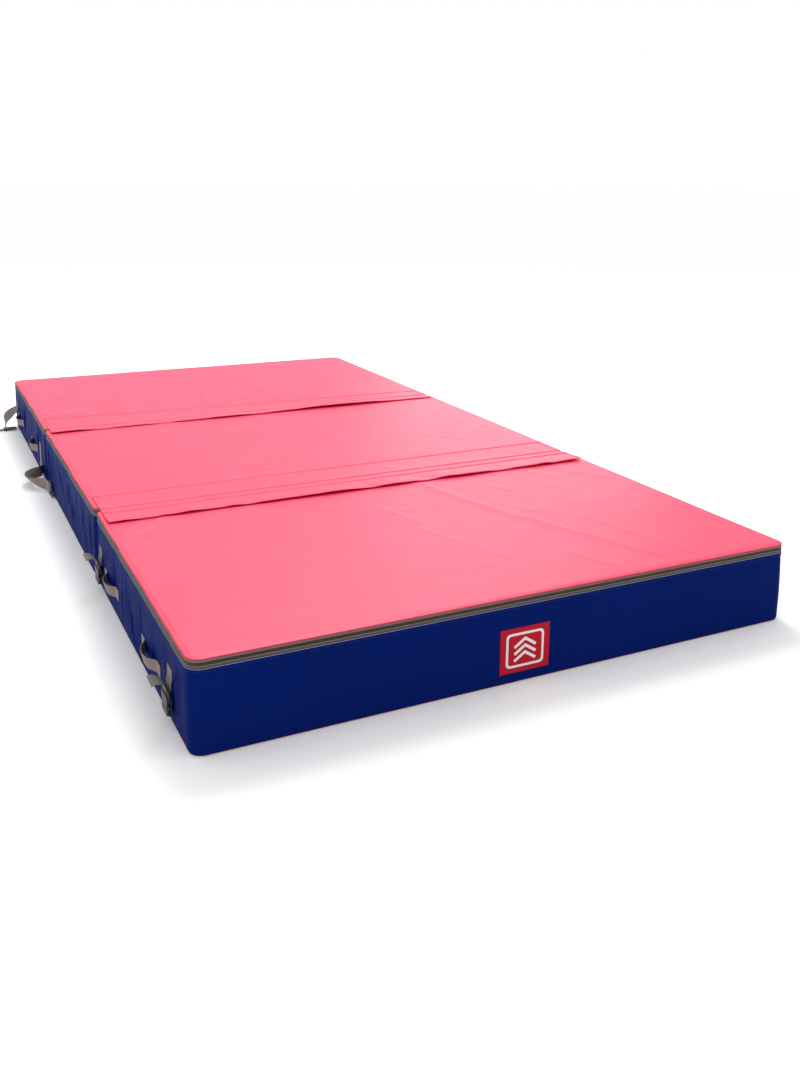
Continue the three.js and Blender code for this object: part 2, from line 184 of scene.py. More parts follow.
class Nodes:
    """A small helper for wiring one material."""

    def __init__(self, name):
        self.material = bpy.data.materials.new(name)
        self.material.use_nodes = True
        self.tree = self.material.node_tree
        self.shader = self.tree.nodes["Principled BSDF"]

    def add(self, kind, **sockets):
        node = self.tree.nodes.new(kind)
        for key, value in sockets.items():
            self.put(node.inputs[key.replace("_", " ")], value)
        return node

    def put(self, socket, value):
        if hasattr(value, "is_output"):
            self.tree.links.new(value, socket)
        else:
            socket.default_value = value

    def set(self, socket, value):
        self.put(self.shader.inputs[socket], value)

    def math(self, operation, a, b):
        node = self.tree.nodes.new("ShaderNodeMath")
        node.operation = operation
        self.put(node.inputs[0], a)
        self.put(node.inputs[1], b)
        return node.outputs[0]

    def place(self, scale=(1, 1, 1), coordinate="Object"):
        coordinates = self.tree.nodes.new("ShaderNodeTexCoord")
        mapping = self.tree.nodes.new("ShaderNodeMapping")
        mapping.inputs["Scale"].default_value = scale
        self.put(mapping.inputs["Vector"], coordinates.outputs[coordinate])
        return mapping.outputs[0]

    def noise(self, vector, scale, detail=3.0, roughness=0.5):
        node = self.add("ShaderNodeTexNoise", Vector=vector, Scale=scale, Detail=detail)
        node.inputs["Roughness"].default_value = roughness
        return node.outputs["Fac"]

    def bands(self, vector, direction, pitch):
        """Even ridges, pitch metres apart, from 0 to 1."""
        node = self.add("ShaderNodeTexWave", Vector=vector, Scale=math.pi / 10 / pitch)
        node.bands_direction = direction
        node.inputs["Distortion"].default_value = 0.0
        return node.outputs["Fac"]

    def between(self, factor, low, high):
        node = self.tree.nodes.new("ShaderNodeMapRange")
        self.put(node.inputs["Value"], factor)
        node.inputs["To Min"].default_value = low
        node.inputs["To Max"].default_value = high
        return node.outputs[0]

    def mix(self, factor, first, second):
        node = self.tree.nodes.new("ShaderNodeMix")
        node.data_type = "RGBA"
        self.put(node.inputs["Factor"], factor)
        self.put(node.inputs["A"], (*first, 1) if isinstance(first, tuple) else first)
        self.put(node.inputs["B"], (*second, 1) if isinstance(second, tuple) else second)
        return node.outputs["Result"]

    def bump(self, height, distance, strength=1.0, onto=None):
        node = self.add("ShaderNodeBump", Height=height, Distance=distance, Strength=strength)
        if onto is not None:
            self.put(node.inputs["Normal"], onto)
        return node.outputs[0]


def shade(colour, factor):
    return tuple(channel * factor for channel in colour)


SCRIM_PITCH = 1.1 * MM


def vinyl(name, colour, roughness, specular):
    """PVC-coated cloth: the scrim shows faintly through the coat, which is scuffed in places."""
    n = Nodes(name)
    here = n.place()
    cloudy = n.noise(here, 5.0, 4.0)
    n.set("Base Color", n.mix(cloudy, shade(colour, 0.90), shade(colour, 1.08)))
    scuffs = n.noise(n.place((1.0, 6.0, 2.5)), 9.0, 6.0, 0.65)
    n.set("Roughness", n.between(scuffs, roughness - 0.07, roughness + 0.09))
    n.set("Specular IOR Level", specular)
    warp = n.bands(here, "X", SCRIM_PITCH)
    weft = n.bands(here, "Y", SCRIM_PITCH)
    rise = n.bands(here, "Z", SCRIM_PITCH)
    scrim = n.math("ADD", n.math("ADD", warp, weft), rise)
    grain = n.noise(here, 1400.0, 2.0)
    ripple = n.noise(here, 14.0, 2.0)
    woven = n.bump(scrim, 0.03 * MM, 0.5)
    grained = n.bump(grain, 0.05 * MM, 0.6, woven)
    n.set("Normal", n.bump(ripple, 0.8 * MM, 0.35, grained))
    return n.material


# How rough a weave is, and how much of its colour comes from single threads.
WEAVE_ROUGHNESS = 0.85
FLECK = 0.35


def woven(name, colour, pitch_along, pitch_across, depth):
    """Webbing or tape. Its UVs are metres along and across the band."""
    n = Nodes(name)
    flat = n.place(coordinate="UV")
    ribs = n.bands(flat, "Y", pitch_across)
    picks = n.bands(flat, "X", pitch_along)
    weave = n.math("MULTIPLY", ribs, n.between(picks, 0.35, 1.0))
    threads = n.noise(n.place((900, 5000, 1), "UV"), 1.0, 2.0)
    # Darker in the weave's grooves: painted shade. The flecks of single threads are the yarn's own colour.
    lit = n.math("ADD", n.math("MULTIPLY", weave, 1 - FLECK), n.math("MULTIPLY", threads, FLECK))
    n.set("Base Color", n.mix(lit, shade(colour, 0.62), shade(colour, 1.12)))
    n.set("Roughness", WEAVE_ROUGHNESS)
    n.set("Sheen Weight", 0.1)
    n.set("Normal", n.bump(weave, depth, 0.9))
    return n.material


def coil_nylon(name, colour):
    """A zip coil: the swept bead, with its turns cut in by the bump."""
    n = Nodes(name)
    turns = n.bands(n.place(coordinate="UV"), "X", 1.5 * MM)
    # Darker in the gaps between the turns: painted shade.
    n.set("Base Color", n.mix(turns, shade(colour, 0.35), shade(colour, 1.2)))
    n.set("Roughness", 0.45)
    n.set("Normal", n.bump(turns, 0.5 * MM, 1.0))
    return n.material


def thread(name, colour):
    n = Nodes(name)
    twist = n.bands(n.place(), "DIAGONAL", 0.5 * MM)
    # Darker in the twist's grooves: painted shade.
    n.set("Base Color", n.mix(twist, shade(colour, 0.7), shade(colour, 1.1)))
    n.set("Roughness", 0.6)
    n.set("Normal", n.bump(twist, 0.1 * MM, 0.6))
    return n.material


def moulded(name, colour):
    n = Nodes(name)
    here = n.place()
    texture = n.noise(here, 1800.0, 2.0)
    worn = n.noise(here, 60.0, 5.0, 0.6)
    n.set("Base Color", n.mix(worn, shade(colour, 0.8), shade(colour, 1.5)))
    n.set("Roughness", n.between(worn, 0.3, 0.5))
    n.set("Normal", n.bump(texture, 0.04 * MM, 0.5))
    return n.material


def metal(name, colour):
    n = Nodes(name)
    here = n.place()
    n.set("Metallic", 1.0)
    brushed = n.noise(n.place((4000, 4000, 250)), 1.0, 2.0)
    worn = n.noise(here, 300.0, 4.0)
    n.set("Base Color", n.mix(worn, shade(colour, 0.75), shade(colour, 1.25)))
    n.set("Roughness", n.between(brushed, 0.22, 0.42))
    n.set("Normal", n.bump(brushed, 0.02 * MM, 0.4))
    return n.material


def embroidered(name, colour, angle_axis, pitch):
    """Satin stitch: close threads that run across the axis given."""
    n = Nodes(name)
    here = n.place()
    rows = n.bands(here, angle_axis, pitch)
    # Darker between the stitch rows: painted shade.
    n.set("Base Color", n.mix(rows, shade(colour, 0.72), shade(colour, 1.1)))
    n.set("Roughness", 0.65)
    n.set("Specular IOR Level", 0.15)
    n.set("Normal", n.bump(rows, 0.2 * MM, 0.8))
    return n.material


def foam(name, colour, cell):
    n = Nodes(name)
    cells = n.noise(n.place(), 1 / cell, 3.0)
    n.set("Base Color", n.mix(cells, shade(colour, 0.8), colour))
    n.set("Roughness", 0.95)
    n.set("Normal", n.bump(cells, cell / 3, 0.8))
    return n.material


RED = (0.82, 0.035, 0.110)
NAVY = (0.0014, 0.0098, 0.105)
red_vinyl = vinyl("red_vinyl", RED, 0.42, 0.40)
navy_vinyl = vinyl("navy_vinyl", NAVY, 0.50, 0.012)
# A blue-grey much lighter than the navy vinyl: a painted highlight for the hem's rolled top edge.
navy_painted_highlight = vinyl("navy_painted_highlight", (0.16, 0.20, 0.30), 0.45, 0.3)
# A darker copy of the red vinyl for the bottom sheet: painted shade for the turned-up edge that shows under
# the walls.
red_vinyl_painted_shade = vinyl("red_vinyl_painted_shade", (0.36, 0.012, 0.035), 0.5, 0.1)
# Dark red thread, darker than the vinyl so that its rows also paint the seams' shade lines; the same colour
# paints the shadow line where the top sheet folds down to the zip.
red_thread_and_seam_shade = thread("red_thread_and_seam_shade", (0.30, 0.008, 0.03))
navy_thread = thread("navy_thread", (0.01, 0.02, 0.08))
grey_thread = thread("grey_thread", (0.34, 0.30, 0.28))
taupe_tape = woven("taupe_tape", (0.225, 0.145, 0.108), 0.9 * MM, 0.7 * MM, 0.2 * MM)
# The same taupe tape drawn much darker, for the lower tape: painted shade.
taupe_tape_painted_shade = woven("taupe_tape_painted_shade", (0.095, 0.062, 0.048), 0.9 * MM, 0.7 * MM, 0.2 * MM)
coil_brown = coil_nylon("coil_brown", (0.035, 0.027, 0.024))
grey_webbing = woven("grey_webbing", (0.235, 0.19, 0.17), 1.3 * MM, 2.4 * MM, 0.35 * MM)
black_plastic = moulded("black_plastic", (0.012, 0.012, 0.014))
dark_metal = metal("dark_metal", (0.30, 0.31, 0.33))
soft_foam = foam("soft_foam", (0.85, 0.80, 0.68), 1.2 * MM)
firm_foam = foam("firm_foam", (0.42, 0.44, 0.46), 0.6 * MM)
badge_red = embroidered("badge_red", (0.46, 0.004, 0.016), "DIAGONAL", 0.6 * MM)
badge_white = embroidered("badge_white", (0.82, 0.80, 0.80), "X", 0.55 * MM)

# ---------------------------------------------------------------- smooth noise and folds


def noise_2d(x, y, seed):
    """Smooth noise from -1 to 1 that changes over one unit of x or y."""
    column, row = np.floor(x), np.floor(y)
    fx, fy = x - column, y - row
    fx, fy = fx * fx * (3 - 2 * fx), fy * fy * (3 - 2 * fy)

    def corner(i, j):
        mixed = np.sin((column + i) * 127.1 + (row + j) * 311.7 + seed * 74.7) * 43758.5453
        return (mixed - np.floor(mixed)) * 2 - 1

    low = corner(0, 0) * (1 - fx) + corner(1, 0) * fx
    high = corner(0, 1) * (1 - fx) + corner(1, 1) * fx
    return low * (1 - fy) + high * fy


def smooth_step(value, low, high):
    t = np.clip((value - low) / (high - low), 0, 1)
    return t * t * (3 - 2 * t)


def unit(vectors):
    return vectors / np.maximum(np.linalg.norm(vectors, axis=-1, keepdims=True), 1e-12)


def crease(x, y, start, end, width, height, lean=0.0):
    """A ridge (a valley if height is negative) from start to end, with fading ends.

    lean makes one flank steeper, as where slack cloth has slid one way."""
    (x0, y0), (x1, y1) = start, end
    length = math.hypot(x1 - x0, y1 - y0)
    ax, ay = (x1 - x0) / length, (y1 - y0) / length
    along = (x - x0) * ax + (y - y0) * ay
    across = (x - x0) * ay - (y - y0) * ax
    across = across + 0.15 * width * np.sin(along / length * 9.0)
    t = across / (width * (1 + lean * np.tanh(across / width)))
    fade = min(0.4 * length, 0.12)
    ends = smooth_step(along, 0, fade) * (1 - smooth_step(along, length - fade, length))
    return height * np.exp(-t * t) * ends


# ---------------------------------------------------------------- meshes from grids


def add_mesh(name, vertices, faces, material, uv=None):
    """A smooth-shaded mesh object. uv holds one pair for each vertex."""
    mesh = bpy.data.meshes.new(name)
    mesh.from_pydata(np.asarray(vertices).tolist(), [], faces)
    mesh.materials.append(material)
    mesh.shade_smooth()
    if uv is not None:
        layer = mesh.uv_layers.new(name="UVMap")
        corner_vertex = np.empty(len(mesh.loops), dtype=np.int64)
        mesh.loops.foreach_get("vertex_index", corner_vertex)
        layer.data.foreach_set("uv", np.asarray(uv, np.float32)[corner_vertex].ravel())
    obj = bpy.data.objects.new(name, mesh)
    bpy.context.scene.collection.objects.link(obj)
    return obj


def grid_faces(rows, columns, wrap_rows=False, wrap_columns=False):
    """Quads facing the way (columns' direction) x (rows' direction) points."""
    i, j = np.meshgrid(
        np.arange(rows if wrap_rows else rows - 1),
        np.arange(columns if wrap_columns else columns - 1),
        indexing="ij",
    )
    above, beside = (i + 1) % rows, (j + 1) % columns
    here, over = i * columns, above * columns
    quads = np.stack([here + j, here + beside, over + beside, over + j], -1)
    return quads.reshape(-1, 4).tolist()


def thicken(obj, thickness):
    """Gives a sheet its thickness, on the side away from its normals."""
    modifier = obj.modifiers.new("thickness", "SOLIDIFY")
    modifier.thickness = thickness
    modifier.offset = -1
    modifier.use_rim = True
    bpy.context.view_layer.update()
    evaluated = obj.evaluated_get(bpy.context.evaluated_depsgraph_get())
    solid = bpy.data.meshes.new_from_object(evaluated)
    obj.modifiers.clear()
    obj.data = solid


def mounted(obj, body, slot_name, *nodes):
    """Rides a piece on its body, in place of the CAD nodes it stands for."""
    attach(obj, body)
    if nodes:
        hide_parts(*nodes)


# ---------------------------------------------------------------- the panel's outline


def outline(panel, spacing):
    """Points and outward normals round a panel's plan, anticlockwise as seen from above."""
    x0, y0, x1, y1 = plan_of(panel)
    centres = [
        (x1 - CORNER, y0 + CORNER),
        (x1 - CORNER, y1 - CORNER),
        (x0 + CORNER, y1 - CORNER),
        (x0 + CORNER, y0 + CORNER),
    ]
    arc_steps = max(8, round(CORNER * math.pi / 2 / (spacing * 0.5)))
    points, normals = [], []
    for k, centre in enumerate(centres):
        for angle in np.linspace(k - 1, k, arc_steps + 1) * math.pi / 2:
            normal = np.array([math.cos(angle), math.sin(angle)])
            points.append(np.array(centre) + CORNER * normal)
            normals.append(normal)
        after = centres[(k + 1) % 4]
        start, end = points[-1], np.array(after) + CORNER * normals[-1]
        count = max(2, round(np.linalg.norm(end - start) / spacing))
        for share in np.arange(1, count) / count:
            points.append(start + (end - start) * share)
            normals.append(normals[-1])
    return np.array(points), np.array(normals)


def edge_distance(panel, x, y):
    """Distance inside the panel's rounded outline."""
    x0, y0, x1, y1 = plan_of(panel)
    qx = np.abs(x - (x0 + x1) / 2) - (x1 - x0) / 2 + CORNER
    qy = np.abs(y - (y0 + y1) / 2) - (y1 - y0) / 2 + CORNER
    outside = np.hypot(np.maximum(qx, 0), np.maximum(qy, 0))
    return CORNER - outside - np.minimum(np.maximum(qx, qy), 0)


def seam_wave(x, y):
    """How far the zip seam wanders out and up: most on the left, and little under the sliders."""
    long_side = smooth_step(np.abs(x), HALF_WIDTH - 0.05, HALF_WIDTH - 0.005)
    slack = np.where(x > 0, 0.2, 1.0)
    out = 1.6 * MM * noise_2d(y / 0.16, x * 0 + 3, 5) + 0.8 * MM * noise_2d(y / 0.05, x * 0 + 9, 6)
    up = 1.5 * MM * noise_2d(y / 0.13, x * 0 + 5, 7) + 0.5 * MM * noise_2d(y / 0.045, x * 0, 8)
    out, up = out * slack, up * slack
    calm = 0.35 * MM * noise_2d(x / 0.18, y * 0, 9)
    return long_side * out + (1 - long_side) * calm, long_side * up + (1 - long_side) * calm


def faces_joint(panel, normal_y):
    """1 on a wall that faces the next panel, 0 on an outside wall."""
    front, rear = panel != "near", panel != "far"
    return np.clip(-normal_y, 0, 1) * front + np.clip(normal_y, 0, 1) * rear


# ---------------------------------------------------------------- the top sheet

# Start, end, width, rise and lean. Ridges higher than this scale would meet when the mat is folded.
CREASE_SCALE = 1.45
TOP_CREASES = {
    "near": [
        ((0.135, -0.58), (0.255, -1.06), 13 * MM, 2.6 * MM, 0.55),
        ((0.235, -0.96), (0.435, -1.49), 12 * MM, 2.8 * MM, 0.55),
        ((0.20, -1.27), (0.30, -1.49), 9 * MM, 1.8 * MM, 0.5),
        ((0.40, -1.02), (0.51, -1.49), 12 * MM, 1.4 * MM, 0.4),
        ((0.57, -0.60), (0.66, -0.80), 10 * MM, 1.6 * MM, 0.5),
        ((0.62, -0.66), (0.735, -0.88), 10 * MM, 1.3 * MM, 0.5),
        ((-0.07, -0.74), (0.02, -1.03), 9 * MM, 1.2 * MM, 0.4),
        ((-0.05, -0.93), (0.04, -1.19), 8 * MM, 1.2 * MM, 0.4),
        ((0.02, -1.12), (0.11, -1.37), 8 * MM, 1.1 * MM, 0.4),
        ((0.33, -0.73), (0.37, -0.85), 10 * MM, 1.6 * MM, 0.4),
        ((-0.755, -0.79), (-0.56, -0.60), 10 * MM, 2.4 * MM, 0.5),
        ((-0.755, -0.74), (-0.64, -0.64), 8 * MM, 2.0 * MM, 0.5),
        ((-0.73, -0.83), (-0.62, -0.79), 9 * MM, 1.8 * MM, 0.4),
        ((-0.74, -0.88), (-0.50, -0.80), 12 * MM, 0.9 * MM, 0.4),
    ],
    "middle": [
        ((-0.18, -0.14), (-0.09, -0.31), 9 * MM, 1.2 * MM, 0.4),
        ((-0.30, -0.20), (-0.16, -0.34), 10 * MM, 0.9 * MM, 0.4),
        ((0.44, -0.10), (0.60, -0.33), 11 * MM, 1.1 * MM, 0.4),
        ((-0.10, 0.41), (0.03, 0.30), 11 * MM, 1.2 * MM, 0.4),
        ((0.10, 0.41), (0.16, 0.28), 9 * MM, 1.1 * MM, 0.4),
        ((-0.70, 0.40), (-0.55, 0.30), 11 * MM, 1.0 * MM, 0.4),
    ],
    "far": [
        ((-0.125, 0.64), (-0.03, 1.26), 15 * MM, 2.2 * MM, 0.5),
        ((-0.04, 0.60), (0.0, 0.92), 11 * MM, 1.6 * MM, 0.4),
        ((0.05, 0.62), (0.046, 0.96), 11 * MM, 1.6 * MM, 0.4),
        ((0.18, 0.62), (0.15, 1.2), 13 * MM, 1.3 * MM, 0.4),
        ((-0.60, 0.66), (-0.53, 1.16), 16 * MM, 1.3 * MM, 0.4),
        ((-0.47, 0.68), (-0.35, 1.2), 16 * MM, 1.3 * MM, 0.4),
        ((0.38, 0.57), (0.58, 0.80), 13 * MM, 1.7 * MM, 0.4),
        ((0.50, 0.56), (0.66, 0.70), 11 * MM, 1.6 * MM, 0.4),
        ((-0.735, 0.82), (-0.67, 0.66), 11 * MM, 1.9 * MM, 0.5),
        ((-0.71, 0.76), (-0.60, 0.68), 9 * MM, 1.6 * MM, 0.5),
    ],
}
SMALL_CREASES = 46


def small_creases(panel):
    """Short, faint creases that spread from the panel's joints, placed by a seeded draw."""
    draw = np.random.default_rng(100 + PANELS.index(panel))
    x0, y0, x1, y1 = plan_of(panel)
    found = []
    for _ in range(SMALL_CREASES):
        x, y = draw.uniform(x0 + 0.05, x1 - 0.05), draw.uniform(y0 + 0.05, y1 - 0.05)
        angle = math.radians(draw.normal(-62, 30))
        half = draw.uniform(0.03, 0.11)
        dx, dy = half * math.cos(angle), half * math.sin(angle)
        size = draw.uniform(6, 12) * MM
        found.append(((x - dx, y - dy), (x + dx, y + dy), size, draw.uniform(0.25, 0.8) * MM, 0.3))
    return found


def top_height(panel, x, y):
    """The height of a panel's cover, with its rounded edge, its settling and its creases."""
    inside = edge_distance(panel, x, y)
    edge = np.clip(1 - inside / EDGE_ROUND, 0, 1)
    height = TOP - EDGE_DROP * (1 - np.sqrt(1 - edge * edge))
    settled = smooth_step(inside, 0.01, 0.06)
    height = height + settled * 0.7 * MM * noise_2d(x / 0.34, y / 0.26, 21)
    height = height + settled * 0.4 * MM * noise_2d(x / 0.12 + 4, y / 0.07, 22)
    off_edge = smooth_step(inside, 0.004, 0.03)
    for start, end, width, rise, lean in TOP_CREASES[panel] + small_creases(panel):
        height = height + off_edge * crease(x, y, start, end, width, CREASE_SCALE * rise, lean)
    return height


def edge_spaced(low, high, coarse):
    """Grid lines that crowd towards both ends, where the cover rounds over and is stitched."""
    fine = np.array([0, 1.0, 2.0, 3.2, 4.6, 6.0, 7.4, 8.6, 9.8, 11.4, 13.6, 16.5, 20.0, 25.0]) * MM
    count = max(2, round((high - low - 2 * fine[-1]) / coarse))
    middle = np.linspace(low + fine[-1], high - fine[-1], count + 1)[1:-1]
    return np.concatenate([low + fine, middle, (high - fine)[::-1]])


def round_corners(panel, x, y):
    """Bends a square grid's corners into the panel's rounded ones."""
    x0, y0, x1, y1 = plan_of(panel)
    cx, cy = (x0 + x1) / 2, (y0 + y1) / 2
    px = (np.abs(x - cx) - (x1 - x0) / 2 + CORNER) / CORNER
    py = (np.abs(y - cy) - (y1 - y0) / 2 + CORNER) / CORNER
    corner = (px > 0) & (py > 0)
    p, q = np.where(corner, px, 1), np.where(corner, py, 1)
    radius = np.maximum(p, q)
    angle = np.where(p >= q, math.pi / 4 * q / p, math.pi / 2 - math.pi / 4 * p / q)
    shift_x = (radius * np.cos(angle) - p) * CORNER * np.sign(x - cx)
    shift_y = (radius * np.sin(angle) - q) * CORNER * np.sign(y - cy)
    return x + np.where(corner, shift_x, 0), y + np.where(corner, shift_y, 0)


def outward(panel, x, y):
    """The direction to the nearest edge, for points near one."""
    step = 0.5 * MM
    gx = edge_distance(panel, x - step, y) - edge_distance(panel, x + step, y)
    gy = edge_distance(panel, x, y - step) - edge_distance(panel, x, y + step)
    size = np.maximum(np.hypot(gx, gy), 1e-9)
    return gx / size, gy / size


STITCH_INSET = 8.6 * MM


def make_top_sheet(panel):
    x0, y0, x1, y1 = plan_of(panel)
    x, y = np.meshgrid(edge_spaced(x0, x1, 7 * MM), edge_spaced(y0, y1, 7 * MM))
    x, y = round_corners(panel, x, y)
    inside = edge_distance(panel, x, y)
    z = top_height(panel, x, y)
    z = z - 0.5 * MM * np.exp(-(((inside - STITCH_INSET) / (1.3 * MM)) ** 2))
    out, up = seam_wave(x, y)
    near_edge = np.exp(-inside / 0.02)
    nx, ny = outward(panel, x, y)
    z = z + up * near_edge
    x, y = x + nx * out * near_edge, y + ny * out * near_edge
    points = np.stack([x, y, z], -1).reshape(-1, 3)
    sheet = add_mesh(f"{panel}_top_cover", points, grid_faces(*x.shape), red_vinyl)
    thicken(sheet, VINYL)
    mounted(sheet, f"{panel}_panel", "red_vinyl", f"{panel}_top_sheet")


# ---------------------------------------------------------------- walls


# The long walls' deep folds: place along the mat, slant, width and rise in mm, height and reach.
DEEP_FOLD_SCALE = 1.3
DEEP_FOLDS = {
    "near": [
        (-0.985, 0.75, 15, -7.0, 0.055, 0.036), (-0.955, 0.45, 9, 4.5, 0.085, 0.06),
        (-1.020, 0.55, 10, 3.5, 0.060, 0.05), (-0.930, 0.05, 6, -4.0, 0.125, 0.04),
        (-1.075, 0.08, 7, -3.0, 0.125, 0.05), (-0.560, 0.25, 14, -5.0, 0.110, 0.06),
        (-1.330, 0.30, 22, -3.5, 0.120, 0.05), (-1.420, -0.3, 20, -2.5, 0.110, 0.05),
    ],
    "middle": [
        (-0.070, 1.10, 14, -6.5, 0.080, 0.055), (-0.110, 0.90, 11, 4.0, 0.070, 0.055),
        (0.140, 1.60, 16, -4.5, 0.110, 0.050), (0.330, 0.30, 14, 4.5, 0.110, 0.060),
        (0.420, 0.25, 15, -5.5, 0.100, 0.060), (-0.300, 0.70, 20, 4.5, 0.100, 0.060),
        (-0.420, 0.20, 16, -5.0, 0.110, 0.060),
    ],
    "far": [
        (0.700, 0.40, 22, -5.0, 0.120, 0.05), (0.760, 0.20, 20, 4.0, 0.100, 0.06),
        (1.120, 0.30, 24, -5.0, 0.120, 0.05), (0.900, 0.20, 22, -3.5, 0.100, 0.06),
    ],
}


def wall_folds(panel, side):
    """Folds that hang from the zip seam on a long wall: a seeded draw, then the deep folds."""
    draw = np.random.default_rng(300 + 10 * PANELS.index(panel) + (side > 0))
    _, y0, _, y1 = plan_of(panel)
    folds = []
    for _ in range(30):
        y = draw.uniform(y0 + 0.05, y1 - 0.05)
        slant = draw.normal(0.1, 0.25)
        width = draw.uniform(5, 17) * MM
        rise = draw.normal(0, 2.8) * MM
        centre = draw.uniform(0.06, 0.16)
        reach = draw.uniform(0.03, 0.09)
        folds.append((y, slant, width, rise, centre, reach))
    mirrored = 0.09 * (side > 0)
    for place, slant, width, rise, centre, reach in DEEP_FOLDS[panel]:
        folds.append((place + mirrored, slant, width * MM, DEEP_FOLD_SCALE * rise * MM, centre, reach))
    return folds


# The end walls' folds: place across the mat, slant, width and rise in mm.
FRONT_FOLD_SCALE = 1.9
FRONT_FOLDS = [
    (-0.55, 0.5, 26, 0.9), (-0.33, -0.6, 22, 0.8), (-0.12, 0.35, 18, 0.6), (0.10, -0.4, 16, 1.0),
    (0.17, -0.25, 14, 1.1), (0.25, -0.35, 14, 1.0), (0.34, 0.3, 20, 0.7), (0.52, -0.5, 24, 0.8),
    (0.64, 0.4, 18, 0.9),
]
FEET_SPREAD = 26 * MM


def webbing_feet(panel, side_name):
    """Boxes (y, half length, bottom, top) where webbing lies on a long wall and holds it flat."""
    if panel == "middle":
        return []
    feet = []
    for end in ENDS:
        low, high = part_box(f"{panel}_{side_name}_{end}_handle")
        for y in (low.y + HANDLE_FOOT / 2, high.y - HANDLE_FOOT / 2):
            feet.append((y, HANDLE_FOOT / 2, low.z, high.z))
        y = strap_place(panel, side_name, end)
        drops_to_floor = panel == "far" and end == "front"
        bottom = 0.0 if drops_to_floor else 0.070 if panel == "near" else 0.095
        feet.append((y, STRAP_WIDTH / 2, bottom, STRAP_TOP))
    return feet


def held_flat(panel, side_name, y, z):
    """1 where webbing holds a long wall flat, fading to 0 beside it."""
    held = np.zeros(np.broadcast(y, z).shape)
    for place, half, bottom, top in webbing_feet(panel, side_name):
        beside = 1 - smooth_step(np.abs(y - place), half, half + FEET_SPREAD)
        above = 1 - smooth_step(np.maximum(z - top, bottom - z), 0, FEET_SPREAD)
        held = np.maximum(held, beside * above)
    return held


def wall_out(panel, points, normals, z):
    """How far a wall stands out from its CAD face.

    points and normals are (n, 2). z is (m, 1) for rows of heights, or (n,) for one height each."""
    x, y = points[:, 0], points[:, 1]
    share = np.clip(z / ZIP_BOTTOM, 0, 1)
    joint = faces_joint(panel, normals[:, 1])
    belly = np.sin(math.pi * share) * 2.2 * MM * (1 - joint)
    foot = np.clip(1 - z / (9 * MM), 0, 1)
    tucked = -5.0 * MM * (1 - np.sqrt(np.clip(1 - foot * foot, 0, 1)))
    hang = np.sin(math.pi * np.clip(share, 0, 1)) ** 0.6
    out = belly + seam_wave(x, y)[0] * smooth_step(z, 0.08, ZIP_BOTTOM)
    flat_end = np.clip(np.abs(normals[:, 1]), 0, 1) ** 2 * (1 - joint)
    for place, slant, width, rise in FRONT_FOLDS:
        across = (x - place - slant * (z - 0.09)) / (width * MM)
        out = out + flat_end * hang * FRONT_FOLD_SCALE * rise * MM * np.exp(-across * across)
    out = out + flat_end * hang * 0.9 * MM * noise_2d(x / 0.2, z / 0.12 + 7, 31)
    for side_name, side in SIDES.items():
        here = np.clip(normals[:, 0] * side, 0, 1) ** 2
        for place, slant, width, rise, centre, reach in wall_folds(panel, side):
            across = (y - place - slant * (z - centre)) / width
            along = np.exp(-(((z - centre) / reach) ** 2))
            out = out + here * hang * along * rise * np.exp(-across * across)
        out = out * (1 - here * held_flat(panel, side_name, y, z))
    return out + tucked


HEM = 9 * MM
WALL_ROWS = np.concatenate([
    np.array([1.6, 2.2, 3.2, 4.5, 6.0, 8.0, 11.0, 15.0]) * MM,
    np.linspace(0.021, 0.163, 22),
    ZIP_BOTTOM + np.array([-12.0, -9.6, -9.0, -8.4, -7.0, -4.0, -2.4, -1.5, -0.8, -0.3, 0.0]) * MM,
])


def hem_step(z):
    """The wall's top edge is folded over, so it is thicker, and rolls in at the very top."""
    folded = 1.3 * MM * smooth_step(z, ZIP_BOTTOM - HEM - 0.6 * MM, ZIP_BOTTOM - HEM + 0.6 * MM)
    top = np.clip((z - ZIP_BOTTOM + 2.4 * MM) / (2.4 * MM), 0, 1)
    return folded - 2.2 * MM * (1 - np.sqrt(1 - top * top))


def make_walls(panel):
    points, normals = outline(panel, 7 * MM)
    z = WALL_ROWS[:, None]
    up_wave = seam_wave(points[:, 0], points[:, 1])[1]
    near_seam = smooth_step(z, 0.08, ZIP_BOTTOM)
    out = wall_out(panel, points, normals, z) + hem_step(z)
    x = points[:, 0] + normals[:, 0] * out
    y = points[:, 1] + normals[:, 1] * out
    height = z + up_wave * near_seam
    grid = np.stack([x, y, height], -1)
    wall = add_mesh(
        f"{panel}_wall_cover",
        grid.reshape(-1, 3),
        grid_faces(*x.shape, wrap_columns=True),
        navy_vinyl,
    )
    thicken(wall, VINYL)
    mounted(wall, f"{panel}_panel", "navy_vinyl", f"{panel}_wall_band")


def make_bottom_sheet(panel):
    """The floor sheet turns up a few millimetres round its edge, where the walls are sewn on."""
    x0, y0, x1, y1 = plan_of(panel)
    x, y = np.meshgrid(edge_spaced(x0, x1, 40 * MM), edge_spaced(y0, y1, 40 * MM))
    x, y = round_corners(panel, x, y)
    inside = edge_distance(panel, x, y)
    turned = np.clip(1 - inside / (5 * MM), 0, 1)
    z = 0.1 * MM + 1.5 * MM * (1 - np.sqrt(np.clip(1 - turned ** 2, 0, 1)))
    nx, ny = outward(panel, x, y)
    joint = faces_joint(panel, ny)
    drawn_in = (-1.9 - 0.8 * joint) * MM * turned
    x, y = x + nx * drawn_in, y + ny * drawn_in
    points = np.stack([x, y, z], -1).reshape(-1, 3)
    flipped = [face[::-1] for face in grid_faces(*x.shape)]
    # The bottom sheet is drawn in the darker copy of the red vinyl: painted shade, not a different cloth.
    sheet = add_mesh(f"{panel}_bottom_cover", points, flipped, red_vinyl_painted_shade)
    thicken(sheet, VINYL)
    mounted(sheet, f"{panel}_panel", "red_vinyl", f"{panel}_bottom_sheet")


# ---------------------------------------------------------------- zip band


